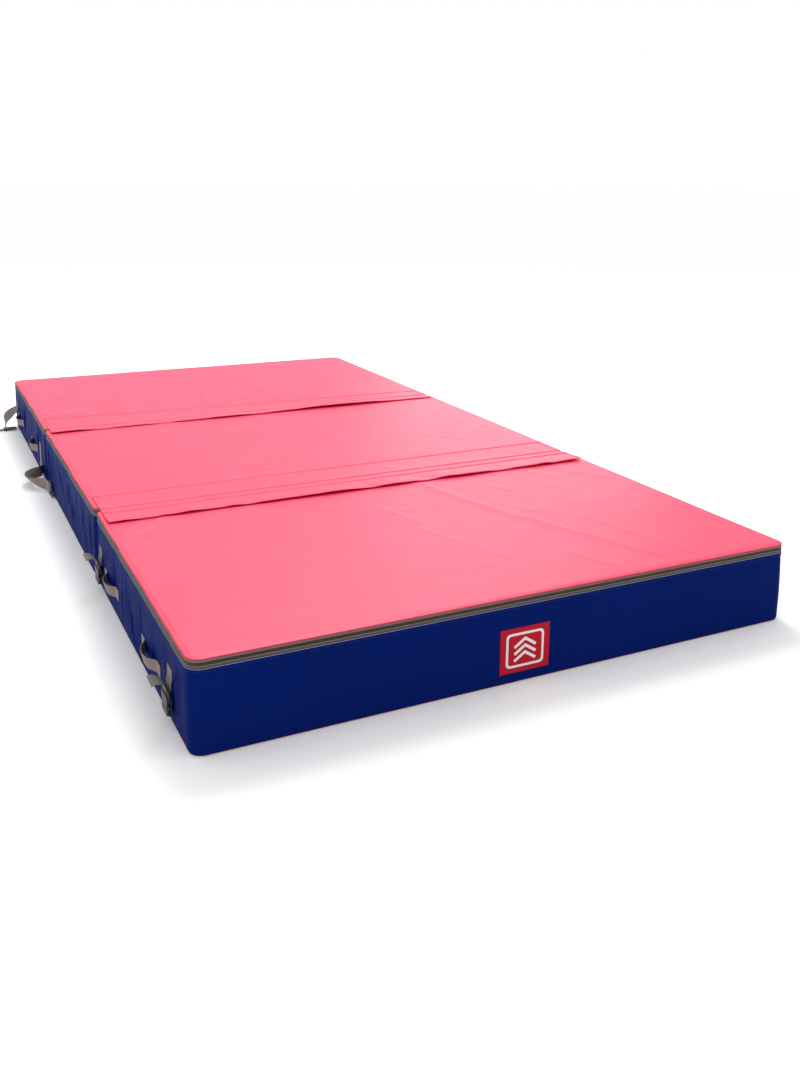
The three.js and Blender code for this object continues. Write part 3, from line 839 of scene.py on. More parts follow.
def sweep_round(name, panel, profile, material, spacing=7 * MM):
    """Sweeps a closed (out, z) profile round the panel, following the seam's wander."""
    points, normals = outline(panel, spacing)
    wave_out, wave_up = seam_wave(points[:, 0], points[:, 1])
    profile = np.array(profile)
    out = profile[:, 0][:, None] + wave_out
    z = profile[:, 1][:, None] + wave_up
    x = points[:, 0] + normals[:, 0] * out
    y = points[:, 1] + normals[:, 1] * out
    steps = np.linalg.norm(np.roll(points, -1, 0) - points, axis=1)
    along = np.concatenate([[0], np.cumsum(steps)[:-1]])
    edges = np.linalg.norm(np.roll(profile, -1, 0) - profile, axis=1)
    across = np.concatenate([[0], np.cumsum(edges)[:-1]])
    uv = np.stack(np.broadcast_arrays(along[None, :], across[:, None]), -1).reshape(-1, 2)
    grid = np.stack([x, y, z], -1)
    faces = grid_faces(*x.shape, wrap_rows=True, wrap_columns=True)
    return add_mesh(name, grid.reshape(-1, 3), faces, material, uv)


def bulged(low, high, out, inner, steps=7):
    """A tape's profile: its outer face bulges by out, and its back is flat at inner."""
    t = np.linspace(0, 1, steps)
    outer = [(inner + (out - inner) * math.sin(math.pi * s) ** 0.5, low + (high - low) * s) for s in t]
    return outer + [(inner - 0.8 * MM, high), (inner - 0.8 * MM, low)]


def bead(out, z, radius, steps=8):
    angles = -math.pi / 2 + np.arange(steps) * 2 * math.pi / steps
    return [(out + radius * math.cos(a), z + radius * math.sin(a)) for a in angles]


def make_zip(panel):
    edge = TOP - EDGE_DROP
    upper = sweep_round(
        f"{panel}_zip_upper_band", panel,
        bulged(ZIP_MIDDLE + 2.2 * MM, edge + 0.4 * MM, 0.9 * MM, -1.0 * MM), taupe_tape,
    )
    # The lower tape is the same tape as the upper one, drawn darker: painted shade.
    lower = sweep_round(
        f"{panel}_zip_lower_band", panel,
        bulged(ZIP_BOTTOM - 0.5 * MM, ZIP_MIDDLE - 2.2 * MM, 0.5 * MM, -1.2 * MM), taupe_tape_painted_shade,
    )
    welt = sweep_round(
        f"{panel}_zip_welt", panel, bead(0.1 * MM, ZIP_MIDDLE - 4.6 * MM, 1.1 * MM), taupe_tape,
    )
    mounted(upper, f"{panel}_panel", "zip_tape", f"{panel}_zip_upper_tape")
    mounted(lower, f"{panel}_panel", "zip_tape", f"{panel}_zip_lower_tape")
    mounted(welt, f"{panel}_panel", "zip_tape")
    # A light blue-grey bead along the top of the hem: a painted highlight where the rolled edge catches the
    # light.
    lip = sweep_round(f"{panel}_hem_highlight_lip", panel, bead(0.7 * MM, ZIP_BOTTOM - 0.6 * MM, 0.9 * MM), navy_painted_highlight)
    mounted(lip, f"{panel}_panel", "navy_vinyl")
    # A dark red bead where the top sheet folds down onto the zip tape: a painted shadow line for that fold.
    seam = sweep_round(f"{panel}_top_fold_shadow", panel, bead(0.5 * MM, edge + 0.5 * MM, 0.7 * MM), red_thread_and_seam_shade)
    mounted(seam, f"{panel}_panel", "red_vinyl")
    for name, z in (("upper", ZIP_MIDDLE + 1.15 * MM), ("lower", ZIP_MIDDLE - 1.15 * MM)):
        coil = sweep_round(f"{panel}_zip_coil_{name}", panel, bead(-0.2 * MM, z, 1.3 * MM), coil_brown)
        mounted(coil, f"{panel}_panel", "zip_tape")


# ---------------------------------------------------------------- stitches


def resample(line, spacing):
    """Points evenly spaced along a polyline, with the directions there."""
    line = np.asarray(line, float)
    steps = np.linalg.norm(np.diff(line, axis=0), axis=1)
    travelled = np.concatenate([[0], np.cumsum(steps)])
    count = max(2, int(travelled[-1] / spacing))
    places = (np.arange(count) + 0.5) * travelled[-1] / count
    points = np.stack([np.interp(places, travelled, line[:, k]) for k in range(3)], -1)
    ahead = np.stack([np.interp(places + 0.2 * MM, travelled, line[:, k]) for k in range(3)], -1)
    behind = np.stack([np.interp(places - 0.2 * MM, travelled, line[:, k]) for k in range(3)], -1)
    along = ahead - behind
    return points, unit(along)


STITCH_RING = ((1, 0), (0, 1), (-1, 0), (0, -1))
STITCH_FACES = [
    face
    for i, j in ((0, 1), (1, 2), (2, 3), (3, 0))
    for face in ((0, 1 + j, 1 + i), (1 + i, 1 + j, 5 + j, 5 + i), (9, 5 + i, 5 + j))
]


def stitches(name, lines, up, material, pitch=5 * MM, length=3.6 * MM, radius=0.45 * MM):
    """Rows of thread stitches on a surface. up is its outward direction, or gives it from points."""
    rows = []
    for line in lines:
        points, along = resample(line, pitch)
        facing = up(points) if callable(up) else np.broadcast_to(np.asarray(up, float), points.shape)
        side = unit(np.cross(facing, along))
        rows.append((points, along, side, np.cross(along, side)))
    middle, along, side, rise = (np.concatenate(column) for column in zip(*rows))
    half, sunk = along * length / 2, rise * radius * 0.5
    corners = [middle - half - sunk]
    for shift in (-0.56, 0.56):
        for across, lift in STITCH_RING:
            raised = rise * radius * (lift * 0.7 + 0.2)
            corners.append(middle + half * shift + side * radius * across + raised)
    corners.append(middle + half - sunk)
    vertices = np.stack(corners, 1).reshape(-1, 3)
    count = len(corners)
    faces = [tuple(k * count + i for i in face) for k in range(len(middle)) for face in STITCH_FACES]
    return add_mesh(name, vertices, faces, material)


def make_panel_stitching(panel):
    """The row just inside the top sheet's edge, and the row along the wall's hem."""
    points, normals = outline(panel, 6 * MM)
    inner = points - normals * STITCH_INSET
    out, up = seam_wave(points[:, 0], points[:, 1])
    fall = math.exp(-STITCH_INSET / 0.02)
    x, y = inner[:, 0] + normals[:, 0] * out * fall, inner[:, 1] + normals[:, 1] * out * fall
    z = top_height(panel, inner[:, 0], inner[:, 1]) + up * fall - 0.4 * MM
    line = np.stack([x, y, z], -1)
    line = np.concatenate([line, line[:1]])
    row = stitches(f"{panel}_top_edge_stitching", [line], (0, 0, 1), red_thread_and_seam_shade)
    mounted(row, f"{panel}_panel", "red_vinyl")

    level = ZIP_BOTTOM - 6.0 * MM
    stand = wall_out(panel, points, normals, np.array([[level]]))[0] + hem_step(level)
    hem = np.concatenate([points + normals * stand[:, None], (level + up)[:, None]], 1)
    hem = np.concatenate([hem, hem[:1]])

    def facing(spots):
        gaps = np.linalg.norm(spots[:, None, :2] - points[None, ::4], axis=2)
        return np.pad(normals[::4][np.argmin(gaps, axis=1)], ((0, 0), (0, 1)))

    row = stitches(f"{panel}_hem_stitching", [hem], facing, navy_thread)
    mounted(row, f"{panel}_panel", "navy_vinyl")


FOAM_INSET = 11 * MM
FOAM_SLACK = 2.5 * MM
FOAM_LAYERS = {"foam_block": ("soft_foam", soft_foam), "foam_top_layer": ("firm_foam", firm_foam)}


def make_foam(panel):
    """Two foam layers with softened edges, a little smaller than the cover they fill."""
    points, normals = outline(panel, 90 * MM)
    for layer, (slot_name, material) in FOAM_LAYERS.items():
        low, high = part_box(f"{panel}_{layer}")
        bottom = low.z + (FOAM_SLACK if layer == "foam_block" else 0)
        top = high.z - (FOAM_SLACK if layer == "foam_top_layer" else 0)
        levels = []
        for angle in np.radians([-90, -60, -30, 0]):
            levels.append((math.cos(angle), bottom + 4 * MM * (1 + math.sin(angle))))
        for angle in np.radians([0, 30, 60, 90]):
            levels.append((math.cos(angle), top - 4 * MM * (1 - math.sin(angle))))
        rings = []
        for out, z in levels:
            plan = points + normals * (4 * MM * (out - 1) - FOAM_INSET)
            rings.append(np.pad(plan, ((0, 0), (0, 1)), constant_values=z))
        count = len(points)
        faces = grid_faces(len(rings), count, wrap_columns=True)
        faces.append(tuple(range(count))[::-1])
        faces.append(tuple(range((len(rings) - 1) * count, len(rings) * count)))
        block = add_mesh(f"{panel}_{layer}_core", np.concatenate(rings), faces, material)
        mounted(block, f"{panel}_panel", slot_name, f"{panel}_{layer}")


for panel in PANELS:
    make_top_sheet(panel)
    make_walls(panel)
    make_bottom_sheet(panel)
    make_zip(panel)
    make_panel_stitching(panel)
    make_foam(panel)

# ---------------------------------------------------------------- joint flaps and hinge strips

NEAR_FLAP = {
    "back": NEAR_JOINT_Y + 0.117, "free": NEAR_JOINT_Y - 0.133,
    "seams": (NEAR_JOINT_Y + 0.113, NEAR_JOINT_Y - 0.007, NEAR_JOINT_Y - 0.047), "slant": 0.0,
}
FAR_FLAP = {
    "back": FAR_JOINT_Y + 0.120, "free": FAR_JOINT_Y - 0.074,
    "seams": (FAR_JOINT_Y + 0.116, FAR_JOINT_Y - 0.012), "slant": -0.047,
}
FLAP_HEM = 14 * MM
FLAP_WANDER = 2.5 * MM
HINGE_REST = 1.05 * MM
HINGE_VINYL = 0.7 * MM


def cover_top(x, y):
    """The panels' top surface, bridged level across the joints."""
    height = np.full(np.shape(x), TOP - 1 * MM)
    for panel in PANELS:
        over = edge_distance(panel, x, y) > 0
        height = np.where(over, top_height(panel, x, y), height)
    return height


def bump(value, centre, width):
    t = (value - centre) / width
    return np.exp(-t * t)


def near_flap_lift(x):
    """How far the near flap's free edge stands off the near panel."""
    scallops = 2.6 + 2.4 * noise_2d(x / 0.09, x * 0, 41) + 1.6 * noise_2d(x / 0.04, x * 0, 42)
    return MM * (np.maximum(scallops, 0.4) + 3.5 * bump(x, 0.62, 0.10) + 2.0 * bump(x, -0.05, 0.15))


def far_flap_lift(x):
    """How far the far flap's free edge stands off the middle panel."""
    swell = 7.5 * bump(x, 0.30, 0.24) + 5.0 * bump(x, -0.70, 0.07) + 3.0 * bump(x, -0.15, 0.1)
    return MM * (1.2 + swell + 1.2 * noise_2d(x / 0.07, x * 0, 43))


def flap_height(x, y, flap, lift, rest):
    """A flap's upper surface: on the covers, dipped at its seams, and lifted at its free edge."""
    run = (flap["back"] - y) / (flap["back"] - flap["free"])
    height = np.maximum(TOP, cover_top(x, flap_wander(x, y, flap, FLAP_WANDER))) + rest
    for seam in flap["seams"]:
        pucker = 0.5 + 0.5 * noise_2d(x / 0.013, x * 0 + seam, 44)
        tuck = smooth_step(y - seam, -0.6 * MM, 0.8 * MM) * np.exp(-np.maximum(y - seam, 0) / (16 * MM))
        height = height + (1.5 + 0.7 * pucker) * MM * tuck
        height = height + 0.6 * MM * pucker * bump(y, seam - 8 * MM, 5 * MM)
    ripples = 0.6 * MM * noise_2d(x / 0.05 + y / 0.09, y / 0.06, 45)
    short = 0.9 * MM * np.maximum(noise_2d(x / 0.022 + y / 0.15, y / 0.16, 46) - 0.45, 0)
    height = height + (ripples + short) * smooth_step(run, 0.1, 0.3)
    height = height + lift(x) * smooth_step(run, 0.50, 1.0) ** 1.5
    from_edge = np.minimum(y - flap["free"], FLAP_HALF - np.abs(x))
    doubled = 1 - smooth_step(from_edge, FLAP_HEM - 0.8 * MM, FLAP_HEM + 0.8 * MM)
    rolled = np.clip(1 - from_edge / (2 * MM), 0, 1)
    return height + 0.8 * MM * doubled * smooth_step(run, 0.02, 0.06) - 1.1 * MM * rolled * rolled


def flap_wander(x, y, flap, amount):
    """The free edge isn't quite straight, and the far flap's back edge slants."""
    run = np.clip((flap["back"] - y) / (flap["back"] - flap["free"]), 0, 1)
    slanted = y + flap["slant"] * x / FLAP_HALF * smooth_step(1 - run, 0.35, 1.0)
    wander = noise_2d(x / 0.21, x * 0, 47) + 0.5 * noise_2d(x / 0.06, x * 0, 48)
    return slanted - run * run * amount * wander


def graded(low, high, coarse, marks=()):
    """Grid lines from low to high that crowd at both ends and round each mark."""
    fine = np.array([0, 0.7, 1.4, 2.2, 4, 7, 10, 12.8, 13.6, 14.4, 15.2, 18]) * MM
    count = max(2, round((high - low) / coarse))
    lines = [low + fine, high - fine, np.linspace(low + fine[-1], high - fine[-1], count)]
    for mark in marks:
        lines.append(mark + np.array([-14, -11, -8, -5, -2.4, -0.7, 0, 0.9, 2.4, 5, 8, 11, 14]) * MM)
    lines = np.sort(np.concatenate(lines))
    lines = lines[(lines >= low) & (lines <= high)]
    apart = np.concatenate([[True], np.diff(lines) > 0.45 * MM])
    return lines[apart]


def make_flap(name, flap, lift, rest, seam_rows):
    """The cloth, hemmed on three sides, and its stitching."""
    x, y = np.meshgrid(
        graded(-FLAP_HALF, FLAP_HALF, 6 * MM),
        graded(flap["free"], flap["back"], 6 * MM, flap["seams"]),
    )
    z = flap_height(x, y, flap, lift, rest)
    points = np.stack([x, flap_wander(x, y, flap, FLAP_WANDER), z], -1).reshape(-1, 3)
    cloth = add_mesh(name, points, grid_faces(*x.shape), red_vinyl)
    thicken(cloth, VINYL)
    lines = []
    span = np.linspace(-FLAP_HALF + 3 * MM, FLAP_HALF - 3 * MM, 500)
    for seam in seam_rows:
        lines.append((span, np.full_like(span, seam)))
    for edge in (flap["free"] + FLAP_HEM - 2.5 * MM, flap["free"] + 3 * MM):
        lines.append((span, np.full_like(span, edge)))
    depth = np.linspace(flap["free"] + 3 * MM, flap["back"] - 4 * MM, 120)
    for end in (-1, 1):
        for inset in (3 * MM, FLAP_HEM - 2.5 * MM):
            lines.append((np.full_like(depth, end * (FLAP_HALF - inset)), depth))
    routes = []
    for along_x, along_y in lines:
        height = flap_height(along_x, along_y, flap, lift, rest)
        routes.append(np.stack([along_x, flap_wander(along_x, along_y, flap, FLAP_WANDER), height], -1))
    rows = stitches(f"{name}_stitching", routes, (0, 0, 1), red_thread_and_seam_shade, radius=0.42 * MM)
    return cloth, rows


# The near flap is sewn to the middle panel, and its free edge lies over the near panel.
near_flap, near_flap_rows = make_flap(
    "near_joint_flap", NEAR_FLAP, near_flap_lift, 2.2 * MM,
    [seam - 1.5 * MM for seam in NEAR_FLAP["seams"]],
)
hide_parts("near_joint_flap_front", "near_joint_flap_rear")
for piece in (near_flap, near_flap_rows):
    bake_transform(piece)

# The far flap is sewn to the far panel, and its free edge lies over the middle panel.
far_flap, far_flap_rows = make_flap(
    "far_joint_cover_flap", FAR_FLAP, far_flap_lift, 1.3 * MM,
    [seam - 1.5 * MM for seam in FAR_FLAP["seams"]],
)
mounted(far_flap, "far_panel", "red_vinyl", "far_joint_flap")
mounted(far_flap_rows, "far_panel", "red_vinyl")


def make_near_hinge():
    """A strip of navy vinyl sewn to both panels' tops, under the flap."""
    reach_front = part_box("near_joint_hinge_leaf_front")[0].y
    reach_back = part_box("near_joint_hinge_leaf_rear")[1].y
    x, y = np.meshgrid(
        np.linspace(-FLAP_HALF + 4 * MM, FLAP_HALF - 4 * MM, 160), np.linspace(reach_front, reach_back, 36)
    )
    z = np.maximum(TOP, cover_top(x, y)) + HINGE_REST
    points = np.stack([x, y, z], -1).reshape(-1, 3)
    strip = add_mesh("near_joint_hinge_strip", points, grid_faces(*x.shape), navy_vinyl)
    thicken(strip, HINGE_VINYL)
    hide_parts("near_joint_hinge_leaf_front", "near_joint_hinge_leaf_rear")
    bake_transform(strip)


def make_far_hinge():
    """A strip of navy vinyl folded in a U in the far joint, sewn to the foot of both walls."""
    front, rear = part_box("far_joint_hinge_leaf_front"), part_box("far_joint_hinge_leaf_rear")
    leaf = rear[1].y - rear[0].y
    y_front = front[0].y + leaf / 2
    y_rear = rear[1].y - leaf / 2
    top = front[1].z
    half = front[1].x
    radius = (y_rear - y_front) / 2
    foot = front[0].z + radius + VINYL / 2
    heights = np.linspace(top, foot, 14)
    bend = np.radians(np.linspace(180, 360, 13))[1:-1]
    path_y = np.concatenate([np.full(14, y_front), FAR_JOINT_Y + radius * np.cos(bend), np.full(14, y_rear)])
    path_z = np.concatenate([heights, foot + radius * np.sin(bend), heights[::-1]])
    columns = np.linspace(-half, half, 120)
    x, y = np.meshgrid(columns, path_y)
    z = np.broadcast_to(path_z[:, None], x.shape)
    points = np.stack([x, y, z], -1).reshape(-1, 3)
    strip = add_mesh("far_joint_hinge_strip", points, grid_faces(*x.shape), navy_vinyl)
    thicken(strip, HINGE_VINYL)
    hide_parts("far_joint_hinge_leaf_front", "far_joint_hinge_leaf_rear")
    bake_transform(strip)


make_near_hinge()
make_far_hinge()

# ---------------------------------------------------------------- webbing


def bezier(a, b, c, d, steps=14):
    """The curve's points after a."""
    t = np.linspace(0, 1, steps + 1)[1:, None]
    a, b, c, d = (np.array(point, float) for point in (a, b, c, d))
    return a * (1 - t) ** 3 + 3 * b * t * (1 - t) ** 2 + 3 * c * t * t * (1 - t) + d * t ** 3


def arc(centre, radius, start, end, steps=12):
    angles = np.radians(np.linspace(start, end, steps + 1))
    return np.stack([centre[0] + radius * np.cos(angles), centre[1] + radius * np.sin(angles)], -1)


def straight(a, b, steps=6):
    """The line's points after a."""
    t = np.linspace(0, 1, steps + 1)[1:, None]
    return np.array(a, float) * (1 - t) + np.array(b, float) * t


def ribbon(name, line, across, width, thickness, material, mitre=(0, 0)):
    """Webbing swept along a line, with soft edges. across is its width direction there.

    mitre slants an end: 1 cuts it at 45 degrees, longer on the side that across points to."""
    line = np.asarray(line, float)
    along = unit(np.gradient(line, axis=0))
    across = np.broadcast_to(np.asarray(across, float), line.shape)
    across = unit(across - along * np.sum(across * along, axis=1, keepdims=True))
    face = np.cross(along, across)
    edge = thickness / 2
    flat = width / 2 - edge
    section = [(s, edge) for s in np.linspace(flat, -flat, 9)]
    section += [(-flat - edge * math.cos(a), edge * math.sin(a)) for a in np.radians([45, 0, -45])]
    section += [(s, -edge) for s in np.linspace(-flat, flat, 9)]
    section += [(flat + edge * math.cos(a), edge * math.sin(a)) for a in np.radians([-45, 0, 45])]
    section = np.array(section)
    steps = np.linalg.norm(np.diff(line, axis=0), axis=1)
    travelled = np.concatenate([[0], np.cumsum(steps)])
    rows = line[:, None] + across[:, None] * section[None, :, :1] + face[:, None] * section[None, :, 1:]
    for end, slant in ((0, mitre[0]), (1, mitre[1])):
        if slant:
            sign = 1 if end else -1
            share = travelled / travelled[-1] if end else 1 - travelled / travelled[-1]
            shift = sign * slant * section[None, :, 0] * smooth_step(share, 0, 1)[:, None]
            rows = rows + along[:, None] * shift[..., None]
    count = len(section)
    faces = grid_faces(len(line), count, wrap_columns=True)
    faces.append(tuple(range(count))[::-1])
    faces.append(tuple(range((len(line) - 1) * count, len(line) * count)))
    uv = np.stack(np.broadcast_arrays(travelled[:, None], section[None, :, 0]), -1)
    return add_mesh(name, rows.reshape(-1, 3), faces, material, uv.reshape(-1, 2))


def combine(name, parts, material=None):
    """Joins meshes into one object."""
    vertices, faces, uv, has_uv = [], [], [], all(part.data.uv_layers for part in parts)
    for part in parts:
        start = len(vertices)
        matrix = np.array(part.matrix_world)
        coordinates = np.empty(len(part.data.vertices) * 3)
        part.data.vertices.foreach_get("co", coordinates)
        coordinates = coordinates.reshape(-1, 3) @ matrix[:3, :3].T + matrix[:3, 3]
        point_uv = np.zeros((len(coordinates), 2))
        if has_uv:
            layer = part.data.uv_layers[0].data
            for loop in part.data.loops:
                point_uv[loop.vertex_index] = layer[loop.index].uv
        vertices.extend(coordinates.tolist())
        uv.extend(point_uv.tolist())
        faces.extend([tuple(start + i for i in face.vertices) for face in part.data.polygons])
    finish = material or parts[0].data.materials[0]
    for part in parts:
        bpy.data.objects.remove(part)
    return add_mesh(name, vertices, faces, finish, uv if has_uv else None)


def box_and_cross(centre, half_long, half_across, long_way, across_way):
    """The four sides and two diagonals of a sewn foot."""
    centre, long_way, across_way = (np.array(v, float) for v in (centre, long_way, across_way))
    corner = [
        centre + long_way * half_long * i + across_way * half_across * j
        for i, j in ((-1, -1), (1, -1), (1, 1), (-1, 1))
    ]
    pairs = ((0, 1), (1, 2), (2, 3), (3, 0), (0, 2), (1, 3))
    return [np.linspace(corner[i], corner[j], 12) for i, j in pairs]


def on_wall(side, path, plane):
    """3-D points from (u, v) ones: u is out from the long wall, and plane places v."""
    path = np.asarray(path)
    return np.stack([side * (HALF_WIDTH + path[:, 0]), *plane(path)], -1)


# The gap between a wall and webbing sewn to it, the socket's bar (out, up), the strap's loop
# round it, and how far the plug's back stands behind the middle of its bar.
SEWN = 0.3 * MM
SOCKET_BAR = (9 * MM, 78 * MM)
LOOP_RADIUS = 4.4 * MM
PLUG_BACK = 2.8 * MM


def make_handle(panel, side_name, end):
    """Sewn flat at both feet, bowed out between them, and sagging a little at the middle."""
    node = f"{panel}_{side_name}_{end}_handle"
    low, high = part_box(node)
    side = SIDES[side_name]
    middle, half = (low.y + high.y) / 2, (high.y - low.y) / 2
    level, width = (low.z + high.z) / 2, high.z - low.z
    bulge = max(abs(low.x), abs(high.x)) - HALF_WIDTH - 1.2 * MM
    flat, rise = SEWN + 1.1 * MM, half - HANDLE_FOOT
    path = np.concatenate([
        [(flat, -half)],
        straight((flat, -half), (flat, -rise)),
        bezier((flat, -rise), (flat, -rise * 0.6), (bulge, -rise * 0.75), (bulge, 0)),
        bezier((bulge, 0), (bulge, rise * 0.75), (flat, rise * 0.6), (flat, rise)),
        straight((flat, rise), (flat, half)),
    ])
    proud = (path[:, 0] - flat) / (bulge - flat)
    line = on_wall(side, path, lambda p: (middle + p[:, 1], level - 3.0 * MM * proud))
    lean = np.stack([side * 0.22 * proud, 0 * proud, 1 + 0 * proud], -1)
    webbing = ribbon(f"{node}_webbing", line, lean, width - 3 * MM, 2.2 * MM, grey_webbing)
    mounted(webbing, f"{panel}_panel", "webbing", node)
    face = side * (HALF_WIDTH + flat + 1.1 * MM)
    lines = []
    for foot in (middle - half + HANDLE_FOOT / 2, middle + half - HANDLE_FOOT / 2):
        spot = (face, foot, level)
        lines += box_and_cross(spot, HANDLE_FOOT / 2 - 3 * MM, width / 2 - 3 * MM, (0, 1, 0), (0, 0, 1))
    rows = stitches(f"{node}_stitching", lines, (side, 0, 0), grey_thread, 3 * MM, 2.3 * MM, 0.35 * MM)
    mounted(rows, f"{panel}_panel", "webbing")


def sewn_strap_top(name, side, place, top, height, body):
    """The box and cross that sews a strap's top to the wall."""
    face = side * (HALF_WIDTH + SEWN + WEBBING)
    spot = (face, place, top - height / 2 - 1.5 * MM)
    lines = box_and_cross(spot, height / 2 - 1 * MM, STRAP_WIDTH / 2 - 3 * MM, (0, 0, 1), (0, 1, 0))
    rows = stitches(name, lines, (side, 0, 0), grey_thread, 3 * MM, 2.3 * MM, 0.35 * MM)
    mounted(rows, body, "webbing")


def make_near_strap(side_name, end):
    """Hangs in a J round the socket's bar. Its short tail sticks out."""
    node, body = f"near_{side_name}_{end}_strap", f"near_{side_name}_{end}_strap_end"
    side, place = SIDES[side_name], strap_place("near", side_name, end)
    flat = SEWN + WEBBING / 2
    bar_u, bar_z = SOCKET_BAR
    radius = LOOP_RADIUS
    tail = max(abs(v.x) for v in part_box(node)) - HALF_WIDTH
    inside, outside = bar_u - radius, bar_u + radius
    low_top = STRAP_TOP - 16 * MM
    path = np.concatenate([
        [(flat, STRAP_TOP)],
        straight((flat, STRAP_TOP), (flat, low_top)),
        bezier((flat, low_top), (flat, 0.094), (inside, 0.096), (inside, bar_z)),
        arc((bar_u, bar_z), radius, 180, 360)[1:],
        bezier((outside, bar_z), (outside, 0.092), (0.024, 0.104), (tail - 1 * MM, 0.099)),
    ])
    line = on_wall(side, path, lambda p: (place + 0 * p[:, 0], p[:, 1]))
    twist = smooth_step(path[:, 0], 0.018, tail)
    across = np.stack([0 * twist, 1 + 0 * twist, 0.22 * twist], -1)
    strap = ribbon(f"{node}_webbing", line, across, STRAP_WIDTH, WEBBING, grey_webbing)
    mounted(strap, body, "webbing", node)
    sewn_strap_top(f"{node}_stitching", side, place, STRAP_TOP, 14 * MM, body)


def make_far_rear_strap(side_name):
    """Slopes out to the floor, through the plug and under its bar, to a loose curled tail."""
    node, body = f"far_{side_name}_rear_strap", f"far_{side_name}_rear_strap_end"
    side, place = SIDES[side_name], strap_place("far", side_name, "rear")
    plug_low, plug_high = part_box(f"far_{side_name}_rear_buckle_plug")
    bar_u = max(abs(plug_low.x), abs(plug_high.x)) - HALF_WIDTH - PLUG_BACK
    slot_u = bar_u - 6.1 * MM
    flat, turn = SEWN + WEBBING / 2, 3 * MM
    tail = max(abs(v.x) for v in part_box(node)) - HALF_WIDTH
    low_top = STRAP_TOP - 14 * MM
    lifted = (tail - 28 * MM, flat + 4 * MM)
    path = np.concatenate([
        [(flat, STRAP_TOP)],
        straight((flat, STRAP_TOP), (flat, low_top)),
        bezier((flat, low_top), (flat + 2 * MM, 0.074), (slot_u, 0.082), (slot_u, 0.022), 24),
        straight((slot_u, 0.022), (slot_u, flat + turn)),
        arc((slot_u + turn, flat + turn), turn, 180, 270)[1:],
        bezier((slot_u + turn, flat), (tail - 48 * MM, flat), (tail - 38 * MM, flat), lifted),
        bezier(lifted, (tail - 20 * MM, flat + 7 * MM), (tail - 10 * MM, 0.014), (tail - 2 * MM, 0.006)),
    ])
    line = on_wall(side, path, lambda p: (place + 0 * p[:, 0], p[:, 1]))
    fallen = np.clip((low_top - path[:, 1]) / (low_top - 0.026), 0, 1)
    turned = np.where(path[:, 0] <= slot_u, np.radians(55) * np.sin(math.pi * fallen) ** 2, 0)
    turned = turned + np.radians(9) * smooth_step(path[:, 0], tail - 40 * MM, tail)
    run = unit(np.gradient(path, axis=0))
    across = np.stack([-side * run[:, 1] * np.sin(turned), np.cos(turned), run[:, 0] * np.sin(turned)], -1)
    strap = ribbon(f"{node}_webbing", line, across, STRAP_WIDTH, WEBBING, grey_webbing)
    mounted(strap, body, "webbing", node)
    sewn_strap_top(f"{node}_stitching", side, place, STRAP_TOP, 13 * MM, body)


def make_far_front_strap(side_name):
    """Drops down the wall, turns a corner in a flat fold, and bows out on its edge to the plug."""
    node, body = f"far_{side_name}_front_strap", f"far_{side_name}_front_strap_end"
    side, place = SIDES[side_name], strap_place("far", side_name, "front")
    low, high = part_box(node)
    plug_low, plug_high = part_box(f"far_{side_name}_front_buckle_plug")
    level, half = (plug_low.z + plug_high.z) / 2, STRAP_WIDTH / 2
    bar_u = abs(plug_low.x + plug_high.x) / 2 - HALF_WIDTH
    bar_y = plug_high.y - PLUG_BACK - place
    reach = max(abs(low.x), abs(high.x)) - HALF_WIDTH - WEBBING
    flat = SEWN + WEBBING / 2
    over = flat + WEBBING + 0.2 * MM
    clear = WEBBING / 2 + PLUG_BACK
    outer = bar_u + clear
    turn_y, run = bar_y - PLUG_BACK, -bar_y
    drop = on_wall(
        side, straight((flat, STRAP_TOP), (flat, level), 20), lambda p: (place + 0 * p[:, 0], p[:, 1])
    )
    drop_piece = ribbon("drop", drop, (0, 1, 0), STRAP_WIDTH, WEBBING, grey_webbing, (0, -1))
    path = np.concatenate([
        [(over, 0)],
        straight((over, 0), (over, -half), 5),
        bezier((over, -half), (over, -run * 0.3), (reach, -run * 0.2), (reach, -run * 0.5), 24),
        bezier((reach, -run * 0.5), (reach, -run * 0.75), (outer, -run * 0.7), (outer, -run * 0.92), 24),
        straight((outer, -run * 0.92), (outer, turn_y), 4),
        arc((bar_u, turn_y), clear, 0, -180)[1:],
        straight((bar_u - clear, turn_y), (bar_u - clear, turn_y + 34 * MM)),
    ])
    bow = on_wall(side, path, lambda p: (place + p[:, 1], level + 0 * p[:, 0]))
    lean = np.radians(42) * smooth_step(path[:, 0], 0.018, 0.058)
    upright = np.stack([side * np.sin(lean), 0 * lean, np.cos(lean)], -1)
    bow_piece = ribbon("bow", bow, upright, STRAP_WIDTH, WEBBING, grey_webbing, (1, 0))
    strap = combine(f"{node}_webbing", [drop_piece, bow_piece])
    mounted(strap, body, "webbing", node)
    sewn_strap_top(f"{node}_stitching", side, place, STRAP_TOP, 14 * MM, body)


# ---------------------------------------------------------------- buckles


def rounded(corners, radius, steps=5):
    """A closed outline whose corners are rounded, by one radius or one for each."""
    corners = np.asarray(corners, float)
    radii = np.broadcast_to(radius, len(corners))
    outline_points = []
    for k, corner in enumerate(corners):
        before, after = corners[k - 1], corners[(k + 1) % len(corners)]
        to_before, to_after = unit(before - corner), unit(after - corner)
        half_angle = math.acos(np.clip(to_before @ to_after, -0.999, 0.999)) / 2
        setback = radii[k] / math.tan(half_angle)
        room = 0.48 * min(np.linalg.norm(before - corner), np.linalg.norm(after - corner))
        setback = min(setback, room)
        for t in np.linspace(0, 1, steps + 1):
            from_side = corner + to_before * setback * (1 - t)
            to_side = corner + to_after * setback * t
            outline_points.append(from_side * (1 - t) + to_side * t)
    return np.array(outline_points)


